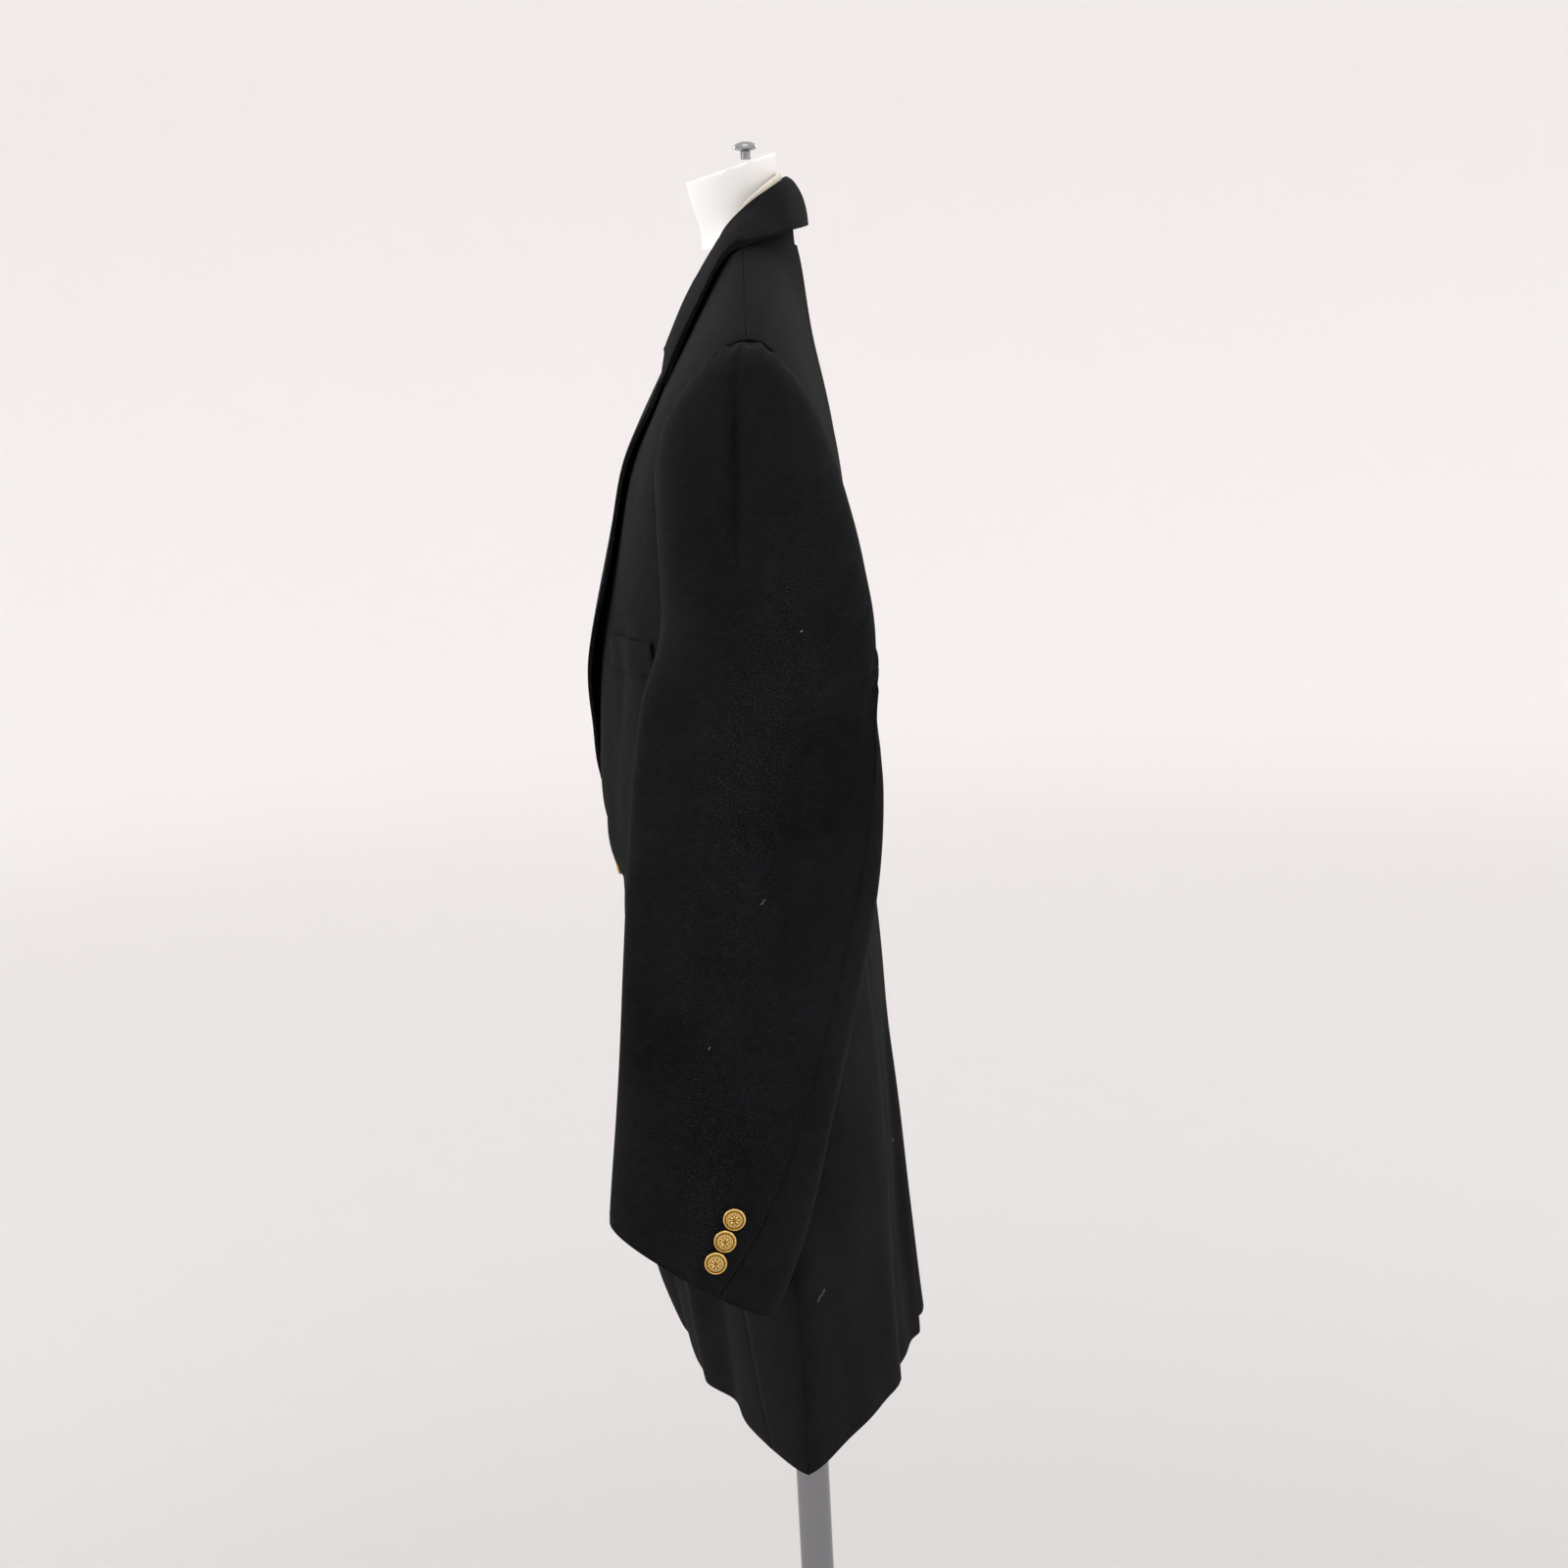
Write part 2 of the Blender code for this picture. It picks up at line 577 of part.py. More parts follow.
def lapel_rows(left):
    """Points of a lapel: round the roll, then out over the chest and clear of it."""
    rows = []
    for place in np.linspace(0, len(LAPEL) - 1, 16):
        z_roll = by_row(LAPEL, place, "z_roll")
        x_outer = by_row(LAPEL, place, "x_outer")
        z_outer = by_row(LAPEL, place, "z_outer")
        lift = by_row(LAPEL, place, "lift")
        x_roll = roll_x(z_roll) - ROLL_GAP
        hidden = not left and x_roll < RIGHT_LAPEL_CLEAR - x_roll
        if hidden:
            x_roll = RIGHT_LAPEL_CLEAR - x_roll
            if x_outer < x_roll + 0.008:
                continue
        points = []
        for turn in (0, 45, 90, 135):
            angle = math.radians(turn)
            x = x_roll - ROLL_RADIUS * math.sin(angle)
            ahead = ROLL_RADIUS * (1 - math.cos(angle))
            if hidden:
                x = x_roll - ROLL_RADIUS * (1 - turn / 180) * 1.5
                ahead = 2 * ROLL_RADIUS
            points.append((x, front_y(x_roll, z_roll) - ahead, z_roll))
        for share in (0.0, 0.12, 0.3, 0.5, 0.7, 0.86, 1.0):
            x = x_roll + (x_outer - x_roll) * share
            z = z_roll + (z_outer - z_roll) * share
            bow = 2 * ROLL_RADIUS + (lift - 2 * ROLL_RADIUS) * share
            points.append((x, front_y(x, z) - bow, z))
        if not left:
            points = [(x, y + underlap(x), z) for x, y, z in points]
        rows.append(points)
    return rows


def collar_rows():
    """Points of the collar, left end to right end, each row from its seam over the fold."""
    fold = 0.0030
    places = list(np.linspace(0, len(COLLAR) - 1, 12))
    rows = []
    for side, stations in ((1, places), (-1, list(reversed(places))[1:])):
        for place in stations:
            value = {name: by_row(COLLAR, place, name) for name in Collar._fields}
            surface = back_y if place > COLLAR_SHOULDER else front_y
            seam_y = surface(value["x_seam"], value["z_seam"])
            seam = Vector((value["x_seam"], seam_y, value["z_seam"]))
            top = Vector((value["x_top"], value["y_top"], value["z_top"]))
            edge = Vector((value["x_edge"], value["y_edge"], value["z_edge"]))
            out = Vector((edge.x - top.x, edge.y - top.y, 0)).normalized()
            up = Vector((0, 0, 1))
            inner = top - out * fold - up * 0.002
            outer = top + out * fold - up * 0.001
            points = [seam, seam.lerp(inner, 0.5) - out * 0.0008, inner, top + up * 0.0008, outer]
            for share in (0.25, 0.5, 0.75, 1.0):
                bow = 0.0030 * math.sin(math.pi * share)
                points.append(outer.lerp(edge, share) + (out + up).normalized() * bow)
            rows.append([(side * p.x, p.y, p.z) for p in points])
    return rows


def ring_point(row, turn):
    """A point of a sleeve ring: turn 0 at its front edge, a quarter turn outermost."""
    y_middle = (row["y_front"] + row["y_back"]) / 2
    y_half = (row["y_back"] - row["y_front"]) / 2
    x_middle = (row["x_in"] + row["x_out"]) / 2
    x_half = (row["x_out"] - row["x_in"]) / 2
    c = math.cos(turn)
    s = math.sin(turn)
    along = -math.copysign(abs(c) ** RING_POWER, c)
    y = y_middle + y_half * along
    x = x_middle + x_half * math.copysign(abs(s) ** RING_POWER, s)
    z = row["z_front"] + (row["z_back"] - row["z_front"]) * (along + 1) / 2
    if s > 0:
        x -= trough_depth(SLEEVE_TROUGHS, y, z) * s
    return x, y, z


def hind_turn(row):
    """The turn at which the hind seam crosses a sleeve ring, on its outer side."""
    y_middle = (row["y_front"] + row["y_back"]) / 2
    y_half = (row["y_back"] - row["y_front"]) / 2
    share = min((row["y_seam"] - y_middle) / y_half, 1)
    return math.pi - math.acos(math.copysign(abs(share) ** (1 / RING_POWER), share))


def gap_turn(row, turn):
    """Half a seam's gap on a sleeve ring, as a turn."""
    step = 0.01
    near = Vector(ring_point(row, turn - step))
    far = Vector(ring_point(row, turn + step))
    return row["gap"] * step / (far - near).length


def sleeve_rings(steps):
    """Rings of the sleeve below the underarm, each as a row of named values."""
    rings = []
    for place in np.linspace(0, len(SLEEVE) - 1, steps):
        rings.append({name: by_row(SLEEVE, place, name) for name in Sleeve._fields})
    return rings


def head_row(place, columns):
    """Points of the sleeve head from the front of the armhole over to its back."""
    value = {name: by_row(HEAD, place, name) for name in Head._fields}
    z = value["z_edge"]
    x_edge = read(ARMHOLE, "z", z, "x") + CLOTH / 2 + SEAM_GAP + 0.0006
    y_front = front_y(x_edge, z)
    y_back = back_y(x_edge, z)
    middle = (y_front + y_back) / 2
    half = (y_back - y_front) / 2
    points = []
    for k in range(columns + 1):
        turn = math.pi * k / columns
        c = math.cos(turn)
        s = math.sin(turn)
        out = s ** RING_POWER
        x = x_edge + (value["x_outer"] - x_edge) * out
        spread = value["front_spread"] if c > 0 else value["back_spread"]
        y = middle - half * c - spread * c * s * 2
        height = z + (value["z_outer"] - z) * out
        x -= trough_depth(SLEEVE_TROUGHS, y, height) * s * min((x - x_edge) / 0.03, 1)
        points.append((x, y, height))
    return points


def upper_sleeve_rows(columns=14):
    """The outer piece of a sleeve, cuff to head."""
    rows = []
    for row in reversed(sleeve_rings(SLEEVE_STEPS)):
        first = row["turn_front"] + gap_turn(row, row["turn_front"])
        last = hind_turn(row) - gap_turn(row, hind_turn(row))
        turns = np.linspace(first, last, columns + 1)
        rows.append([ring_point(row, turn) for turn in turns])
    for place in reversed(np.linspace(0, len(HEAD) - 1, 11)):
        rows.append(head_row(place, columns))
    return rows


def under_sleeve_rows(columns=9):
    """The inner piece of a sleeve, cuff to underarm, ending beside the side panel."""
    rows = []
    for row in reversed(sleeve_rings(SLEEVE_STEPS)):
        first = hind_turn(row) + gap_turn(row, hind_turn(row))
        last = 2 * math.pi + row["turn_front"] - gap_turn(row, row["turn_front"])
        rows.append([ring_point(row, turn) for turn in np.linspace(first, last, columns + 1)])
    rows.append(underarm_row(columns))
    return rows


def underarm_row(columns):
    """The top edge of the under sleeve, laid round the top edge of the side panel."""
    edge = [Vector(p) for p in reversed(side_rows()[-1])]
    points = []
    for k in range(columns + 1):
        share = UNDERARM_INSET + (1 - 2 * UNDERARM_INSET) * k / columns
        place = share * (len(edge) - 1)
        low = min(int(place), len(edge) - 2)
        along = edge[low + 1] - edge[low]
        out = Vector((-along.y, along.x, 0)).normalized()
        points.append(tuple(edge[low] + along * (place - low) + out * UNDERARM_CLEAR))
    return points


def panel_patch(surface, corners, lift, steps):
    """Points over a panel, moved out from it: corners give x and z at its four corners."""
    (x0, z0), (x1, z1), (x2, z2), (x3, z3) = corners
    rows = []
    for j in range(steps[1] + 1):
        v = j / steps[1]
        points = []
        for i in range(steps[0] + 1):
            u = i / steps[0]
            x = (x0 * (1 - u) + x1 * u) * (1 - v) + (x3 * (1 - u) + x2 * u) * v
            z = (z0 * (1 - u) + z1 * u) * (1 - v) + (z3 * (1 - u) + z2 * u) * v
            normal = surface_normal(surface, x, z)
            points.append(tuple(Vector((x, surface(x, z), z)) + normal * lift))
        rows.append(points)
    return rows


def surface_normal(surface, x, z):
    """The outward direction of a surface given as depth over width and height."""
    step = 0.002
    slope_x = (surface(x + step, z) - surface(x - step, z)) / (2 * step)
    slope_z = (surface(x, z + step) - surface(x, z - step)) / (2 * step)
    normal = Vector((slope_x, -1, slope_z))
    if surface is back_y:
        normal.negate()
    return normal.normalized()


def button_profile(radius, height):
    """A shank under a domed face with a raised rim, from the top down its outer side."""
    rim = radius * 0.90
    dome = height * 0.90
    profile = [(0.0, dome)]
    for k in range(1, 4):
        profile.append((rim * k / 4, dome - 0.16 * height * (k / 4) ** 2))
    profile += [
        (rim * 0.93, dome - 0.20 * height),
        (rim, height * 0.80),
        (radius * 0.97, height * 0.76),
        (radius, height * 0.62),
        (radius * 0.90, height * 0.45),
        (radius * 0.40, height * 0.34),
        (radius * 0.36, 0.0),
        (0.0, 0.0),
    ]
    return profile


def button(name, radius, height, at, facing):
    """A button standing on the cloth."""
    part = turned(name, button_profile(radius, height), BRASS, 0.25, 1.0, 12)
    part.location = at
    part.rotation_euler = facing.to_track_quat("Z", "Y").to_euler()
    return part


def build_body():
    for side, mirror in (("left", False), ("right", True)):
        loft(f"front_{side}", front_rows(not mirror), WOOL, 0.85, mirror=mirror)
        loft(f"back_{side}", back_rows(), WOOL, 0.85, flip=True, mirror=mirror)
        loft(f"side_panel_{side}", side_rows(), WOOL, 0.85, mirror=mirror)


def build_lapels():
    for side, mirror in (("left", False), ("right", True)):
        rows = lapel_rows(not mirror)
        loft(f"lapel_{side}", rows, WOOL, 0.85, cloth=LAPEL_CLOTH, mirror=mirror)
    loft("collar", collar_rows(), WOOL, 0.85, cloth=LAPEL_CLOTH)


def build_sleeves():
    for side, mirror in (("left", False), ("right", True)):
        loft(f"upper_sleeve_{side}", upper_sleeve_rows(), WOOL, 0.85, mirror=mirror)
        loft(f"under_sleeve_{side}", under_sleeve_rows(), WOOL, 0.85, mirror=mirror)


def build_pockets():
    welt = ((0.118, 1.143), (0.196, 1.150), (0.196, 1.171), (0.118, 1.166))
    rows = panel_patch(front_y, welt, CLOTH * 0.5 + 0.0018, (9, 2))
    loft("breast_welt", rows, WOOL, 0.85, cloth=0.0018)
    flap = ((0.080, 0.812), (0.172, 0.806), (0.172, 0.862), (0.080, 0.866))
    for side, mirror in (("left", False), ("right", True)):
        rows = panel_patch(front_y, flap, CLOTH * 0.5 + 0.0020, (9, 4))
        loft(f"hip_flap_{side}", rows, WOOL, 0.85, cloth=0.0018, mirror=mirror)


def seat(rows, start, toward):
    """Where a line from outside first meets the faces through rows of points."""
    points = [p for row in rows for p in row]
    width = len(rows[0])
    faces = []
    for j in range(len(rows) - 1):
        for i in range(width - 1):
            a = j * width + i
            faces.append((a, a + 1, a + width + 1, a + width))
    place, _, _, _ = BVHTree.FromPolygons(points, faces).ray_cast(Vector(start), Vector(toward))
    return place


def build_buttons():
    rows = front_rows(True)
    for name, z, _ in FASTENINGS:
        place = seat(rows, (0, -1, z), (0, 1, 0))
        above = seat(rows, (0, -1, z + FRONT_BUTTON_RADIUS), (0, 1, 0))
        below = seat(rows, (0, -1, z - FRONT_BUTTON_RADIUS), (0, 1, 0))
        facing = Vector((0, below.z - above.z, above.y - below.y)).normalized()
        at = place + facing * (CLOTH / 2 + FRONT_BUTTON_CLEAR)
        button(f"front_button_{name}", FRONT_BUTTON_RADIUS, FRONT_BUTTON_HEIGHT, at, facing)
    rows = upper_sleeve_rows()
    for side, sign in (("left", 1), ("right", -1)):
        for k, (y, z) in enumerate(CUFF_BUTTON_PLACES):
            place = seat(rows, (1, y, z), (-1, 0, 0))
            at = Vector((sign * (place.x + CLOTH / 2 + CUFF_BUTTON_CLEAR), y, z))
            name = f"cuff_button_{side}_{k + 1}"
            facing = Vector((sign, 0, 0.04))
            button(name, CUFF_BUTTON_RADIUS, CUFF_BUTTON_HEIGHT, at, facing)


def build_form():
    rings = []
    count = 28
    above = TORSO[-SHOULDER_RINGS:]
    heights = list(np.linspace(TORSO[0].z, TORSO[-SHOULDER_RINGS - 1].z, TORSO_RINGS))
    heights += [row.z for row in above]
    for z in heights:
        row = {name: read(TORSO, "z", z, name) for name in Torso._fields}
        middle = (row["y_front"] + row["y_back"]) / 2
        half = (row["y_back"] - row["y_front"]) / 2
        ring = []
        for k in range(count):
            turn = 2 * math.pi * k / count
            c = math.cos(turn)
            s = math.sin(turn)
            power = 2 / row["power"]
            x = row["half_width"] * math.copysign(abs(c) ** power, c)
            y = middle + half * math.copysign(abs(s) ** power, s)
            if s < 0:
                y -= row["chest"] * math.exp(-(x / CHEST_WIDTH) ** 2)
            ring.append((x, y, z))
        rings.append(ring)
    closed_loft("form_torso", rings, PALE_PLASTIC, 0.45)
    rings = []
    for row in NECK:
        tilt = NECK_TILT * (row.along - NECK[0].along) / (NECK[-1].along - NECK[0].along)
        ring = []
        for k in range(count):
            turn = 2 * math.pi * k / count
            y = row.radius_y * math.sin(turn)
            ring.append((row.radius_x * math.cos(turn), row.y + y, row.along + y * math.tan(tilt)))
        rings.append(ring)
    closed_loft("form_neck", rings, PALE_PLASTIC, 0.4)


def build_stand():
    knob = [(0.0, 0.0125), (0.0040, 0.0120), (0.0080, 0.0100), (0.0095, 0.0075), (0.0060, 0.0060)]
    knob += [(0.0035, 0.0055), (0.0035, 0.0), (0.0, 0.0)]
    part = turned("form_knob", knob, CHROME, 0.25, 1.0, 16)
    part.location = (0, 0.0, NECK[-1].along + 0.0106 * math.tan(NECK_TILT) + 0.0018)
    low = BASE_HEIGHT + BASE_COLLAR_HEIGHT - 0.020
    pole = [(0.0, FORM_BOTTOM_Z - SEAM_GAP), (POLE_RADIUS, FORM_BOTTOM_Z - SEAM_GAP)]
    pole += [(POLE_RADIUS, low), (0.0, low)]
    turned("pole", pole, CHROME, 0.3, 1.0, 32)
    inner = POLE_RADIUS + 0.0004
    base = [
        (0.0, low - SEAM_GAP),
        (inner, low - SEAM_GAP),
        (inner, BASE_HEIGHT + BASE_COLLAR_HEIGHT),
        (BASE_COLLAR_RADIUS - 0.006, BASE_HEIGHT + BASE_COLLAR_HEIGHT),
        (BASE_COLLAR_RADIUS, BASE_HEIGHT + BASE_COLLAR_HEIGHT - 0.006),
        (BASE_COLLAR_RADIUS, BASE_HEIGHT + 0.006),
        (BASE_COLLAR_RADIUS + 0.006, BASE_HEIGHT),
        (BASE_RADIUS - 0.004, BASE_HEIGHT),
        (BASE_RADIUS, BASE_HEIGHT - 0.004),
        (BASE_RADIUS, 0.0),
        (0.0, 0.0),
    ]
    turned("base", base, CHROME, 0.3, 1.0, 40)


def clear_scene():
    for old in list(bpy.data.objects):
        bpy.data.objects.remove(old, do_unlink=True)


clear_scene()
PARTS = bpy.data.collections.new("blazer_on_dress_form")
bpy.context.scene.collection.children.link(PARTS)
build_body()
build_lapels()
build_sleeves()
build_pockets()
build_buttons()
build_form()
build_stand()
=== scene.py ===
"""Looks of a blazer on a dress form: cloth shells, buttons, stitches, form and stage."""

import math
from collections import namedtuple

import bmesh
import bpy
import numpy as np
from bpy.props import FloatProperty, FloatVectorProperty, IntProperty, PointerProperty
from mathutils import Matrix, Vector
from mathutils.bvhtree import BVHTree
from mathutils.kdtree import KDTree


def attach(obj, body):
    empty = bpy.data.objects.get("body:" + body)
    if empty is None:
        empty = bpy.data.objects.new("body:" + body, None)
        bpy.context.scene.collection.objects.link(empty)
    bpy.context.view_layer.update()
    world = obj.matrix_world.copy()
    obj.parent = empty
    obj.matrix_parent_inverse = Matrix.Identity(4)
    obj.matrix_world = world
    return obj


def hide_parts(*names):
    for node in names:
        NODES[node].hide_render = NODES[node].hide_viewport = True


bl_info = {
    "name": "Blazer on a dress form",
    "version": (1, 0, 0),
    "blender": (4, 5, 0),
    "location": "View3D > Sidebar > Blazer",
    "description": "Dresses the packed blazer with cloth, buttons, stitches and a stage",
    "category": "Object",
}

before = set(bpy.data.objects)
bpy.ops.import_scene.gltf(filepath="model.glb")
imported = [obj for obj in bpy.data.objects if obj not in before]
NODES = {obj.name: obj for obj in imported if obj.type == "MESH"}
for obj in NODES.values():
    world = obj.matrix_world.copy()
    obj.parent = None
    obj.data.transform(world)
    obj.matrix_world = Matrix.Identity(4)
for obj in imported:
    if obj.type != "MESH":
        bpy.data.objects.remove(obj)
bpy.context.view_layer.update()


def linear(hex_colour):
    """An sRGB hex colour as three linear values."""
    values = [int(hex_colour[k:k + 2], 16) / 255 for k in (1, 3, 5)]
    return tuple(v / 12.92 if v <= 0.04045 else ((v + 0.055) / 1.055) ** 2.4 for v in values)


# What a user may change


class WoolSettings(bpy.types.PropertyGroup):
    colour: FloatVectorProperty(
        name="Wool", description="Colour of the cloth", subtype="COLOR", size=3,
        default=linear("#131315"))
    lining: FloatVectorProperty(
        name="Lining", description="Colour of the lining", subtype="COLOR", size=3,
        default=linear("#0f0f12"))
    twill: FloatProperty(
        name="Twill", description="Distance between the slanting ribs of the weave",
        default=0.0013, unit="LENGTH")
    creases: FloatProperty(
        name="Creases", description="How deep the soft folds are, 1 as worn", default=1.0)


class ButtonSettings(bpy.types.PropertyGroup):
    gilt: FloatVectorProperty(
        name="Gilt", description="Colour of the polished high places", subtype="COLOR", size=3,
        default=linear("#efc878"))
    # Low places of the relief, plain places by the rim and the underside lean to this colour:
    # toning in the hollows, and painted shade there and under the face
    recess_toned_and_shaded: FloatVectorProperty(
        name="Recess", description="Colour of the toned low places", subtype="COLOR", size=3,
        default=linear("#3a240c"))
    beads: IntProperty(name="Rim beads", description="Beads round each rim", default=40)
    petals: IntProperty(name="Petals", description="Petals of the rosette", default=8)


class StitchSettings(bpy.types.PropertyGroup):
    length: FloatProperty(
        name="Stitch", description="Length of a stitch", default=0.0022, unit="LENGTH")
    pitch: FloatProperty(
        name="Pitch", description="From one stitch to the next", default=0.0031, unit="LENGTH")
    thread: FloatProperty(
        name="Thread", description="Thickness of the thread", default=0.0004, unit="LENGTH")
    colour: FloatVectorProperty(
        name="Thread colour", description="Colour of the thread", subtype="COLOR", size=3,
        default=linear("#232226"))


class FormSettings(bpy.types.PropertyGroup):
    shell: FloatVectorProperty(
        name="Form", description="Colour of the moulded form", subtype="COLOR", size=3,
        default=linear("#f3f2f1"))
    cover: FloatVectorProperty(
        name="Cover", description="Colour of the cotton cover", subtype="COLOR", size=3,
        default=linear("#efe6d6"))
    metal: FloatVectorProperty(
        name="Stand", description="Colour of the plated stand", subtype="COLOR", size=3,
        default=linear("#8e8e92"))


class StageSettings(bpy.types.PropertyGroup):
    paper: FloatVectorProperty(
        name="Floor", description="Colour of the pale floor and wall", subtype="COLOR", size=3,
        default=linear("#f4f2f2"))
    key: FloatProperty(name="Key light", description="Power of each soft light", default=18.0,
                       unit="POWER")
    sky: FloatProperty(name="Fill", description="Strength of the light from all round",
                       default=1.17)


# Materials

# A wave texture of scale 1 has one wave in this many metres
WAVE_LENGTH = math.pi / 10
# Threads run upright on the cloth's UV map. The twill's ribs slant from them, and the cotton
# cover's knitted ribs follow them, this far apart.
TWILL_SLANT = math.radians(63)
RIB_PITCH = 0.0012
# Scales of the noise patterns, each with about one wave in 1 / scale metres. The yarns, floats,
# grain and rings of polish are coarser than life, because their real sizes would not show.
YARN_SCALE = 900.0  # yarns, 1.1 mm
NAP_SCALE = 160.0  # tufts of the nap, 6 mm
WEAR_SCALE = 9.0  # places worn and pressed, 11 cm
FLOAT_SCALE = (500.0, 500.0, 12.0)  # floats of the satin, 2 mm wide and 8 cm long
GRAIN_SCALE = 2200.0  # grain of the gilt, 0.45 mm
TWIST_SCALE = 3000.0  # twist of the thread, 0.3 mm
MOTTLE_SCALE = 45.0  # mottling of the form, 2 cm
POLISH_SCALE = (20.0, 20.0, 1500.0)  # rings of polish, 0.7 mm apart
# The wool's tone mixes its wear with this share of its nap, and runs from its darker colour at
# the first value to its lighter one at the second
NAP_SHARE = 0.55
WORN_TONE = 0.45
NAPPED_TONE = 1.05 / 1.1
# The tint of the wool's sheen, in linear values
SHEEN_TINT = (0.60, 0.60, 0.62)
# The painted board is toned down up to NEAR metres from the stand's foot, and has its own colour
# from FAR metres on
NEAR = 1.0
FAR = 5.0
LINT_COLOUR = linear("#8d8984")


def add(tree, kind, values=None, links=None, **settings):
    """Adds a node with its settings, its sockets' values and the links into it."""
    made = tree.nodes.new(kind)
    for name, value in settings.items():
        setattr(made, name, value)
    for socket, value in (values or {}).items():
        made.inputs[socket].default_value = value
    for socket, source in (links or {}).items():
        tree.links.new(source, made.inputs[socket])
    return made


def new_material(name):
    """The empty node tree of a new material."""
    material = bpy.data.materials.new(name)
    material.use_nodes = True
    material.node_tree.nodes.clear()
    return material.node_tree


def finish_material(tree, shader):
    """Sends a shader to the material's output."""
    add(tree, "ShaderNodeOutputMaterial", links={"Surface": shader.outputs["BSDF"]})


def shade(colour, share=1.0):
    """A colour made darker or lighter, with its alpha."""
    return (*(share * c for c in colour), 1)


def set_ramp(ramp, low, high, start=0.0, end=1.0):
    """Gives a colour ramp its two colours and the values at which they stand."""
    first, last = ramp.color_ramp.elements
    first.position, first.color = start, low
    last.position, last.color = end, high


def worsted_twill(settings):
    """Worsted wool twill, woven and pressed: fine slanting ribs under a short nap, which gives a
    soft pale edge where the cloth turns away. The ribs are drawn about twice as coarse as life."""
    tree = new_material("worsted_wool_twill")
    place = add(tree, "ShaderNodeTexCoord")
    lines = add(tree, "ShaderNodeUVMap", uv_map="threads")
    slant = add(tree, "ShaderNodeMapping", {"Rotation": (0, 0, TWILL_SLANT)},
                {"Vector": lines.outputs["UV"]})
    ribs = add(tree, "ShaderNodeTexWave",
               {"Scale": WAVE_LENGTH / settings.twill, "Distortion": 0.6, "Detail": 1.0,
                "Detail Scale": 0.4},
               {"Vector": slant.outputs["Vector"]}, bands_direction="X")
    yarn = add(tree, "ShaderNodeTexNoise", {"Scale": YARN_SCALE, "Detail": 3.0, "Roughness": 0.7},
               {"Vector": place.outputs["Object"]})
    nap = add(tree, "ShaderNodeTexNoise", {"Scale": NAP_SCALE, "Detail": 4.0, "Roughness": 0.75},
              {"Vector": place.outputs["Object"]})
    wear = add(tree, "ShaderNodeTexNoise", {"Scale": WEAR_SCALE, "Detail": 3.0, "Roughness": 0.55},
               {"Vector": place.outputs["Object"]})
    mixed = add(tree, "ShaderNodeMath", {1: NAP_SHARE},
                {0: nap.outputs["Fac"], 2: wear.outputs["Fac"]}, operation="MULTIPLY_ADD")
    tone = add(tree, "ShaderNodeValToRGB", links={"Fac": mixed.outputs["Value"]})
    set_ramp(tone, shade(settings.colour, 0.62), shade(settings.colour, 1.55),
             WORN_TONE, NAPPED_TONE)
    weave = add(tree, "ShaderNodeBump", {"Strength": 0.55, "Distance": 0.0003},
                {"Height": ribs.outputs["Fac"]})
    fibres = add(tree, "ShaderNodeBump", {"Strength": 0.45, "Distance": 0.0004},
                 {"Height": yarn.outputs["Fac"], "Normal": weave.outputs["Normal"]})
    soft = add(tree, "ShaderNodeBump", {"Strength": 0.35, "Distance": 0.0010},
               {"Height": nap.outputs["Fac"], "Normal": fibres.outputs["Normal"]})
    shader = add(tree, "ShaderNodeBsdfPrincipled",
                 {"Roughness": 0.88, "Sheen Weight": 0.010, "Sheen Roughness": 0.4,
                  "Sheen Tint": shade(SHEEN_TINT), "Specular IOR Level": 0.034},
                 {"Base Color": tone.outputs["Color"], "Normal": soft.outputs["Normal"]})
    finish_material(tree, shader)


def satin_lining(settings):
    """Viscose satin lining, woven with long floats: smooth, with a soft streaky shine."""
    tree = new_material("viscose_satin_lining")
    place = add(tree, "ShaderNodeTexCoord")
    stretch = add(tree, "ShaderNodeMapping", {"Scale": FLOAT_SCALE},
                  {"Vector": place.outputs["Object"]})
    floats = add(tree, "ShaderNodeTexNoise", {"Scale": 1.0, "Detail": 2.0},
                 {"Vector": stretch.outputs["Vector"]})
    streaks = add(tree, "ShaderNodeBump", {"Strength": 0.3, "Distance": 0.0003},
                  {"Height": floats.outputs["Fac"]})
    tone = add(tree, "ShaderNodeValToRGB", links={"Fac": floats.outputs["Fac"]})
    set_ramp(tone, shade(settings.lining, 0.8), shade(settings.lining, 1.3))
    shader = add(tree, "ShaderNodeBsdfPrincipled", {"Roughness": 0.42, "Specular IOR Level": 0.5},
                 {"Base Color": tone.outputs["Color"], "Normal": streaks.outputs["Normal"]})
    finish_material(tree, shader)


def gilt_brass(settings):
    """Gilt stamped brass: bright on the relief, brown in low places as toning and painted shade.
    """
    tree = new_material("stamped_gilt_brass")
    place = add(tree, "ShaderNodeTexCoord")
    relief = add(tree, "ShaderNodeAttribute", attribute_name="relief")
    grain = add(tree, "ShaderNodeTexNoise", {"Scale": GRAIN_SCALE, "Detail": 3.0},
                {"Vector": place.outputs["Object"]})
    # The relief attribute's tone: gilt on raised places, dark in low places as toning and as
    # painted shade
    tone = add(tree, "ShaderNodeValToRGB", links={"Fac": relief.outputs["Fac"]})
    set_ramp(tone, shade(settings.recess_toned_and_shaded), shade(settings.gilt), 0.12, 0.62)
    polish = add(tree, "ShaderNodeMapRange", {"To Min": 0.20, "To Max": 0.34},
                 {"Value": grain.outputs["Fac"]})
    pits = add(tree, "ShaderNodeBump", {"Strength": 0.25, "Distance": 0.0001},
               {"Height": grain.outputs["Fac"]})
    shader = add(tree, "ShaderNodeBsdfPrincipled", {"Metallic": 1.0},
                 {"Base Color": tone.outputs["Color"], "Roughness": polish.outputs["Result"],
                  "Normal": pits.outputs["Normal"]})
    finish_material(tree, shader)


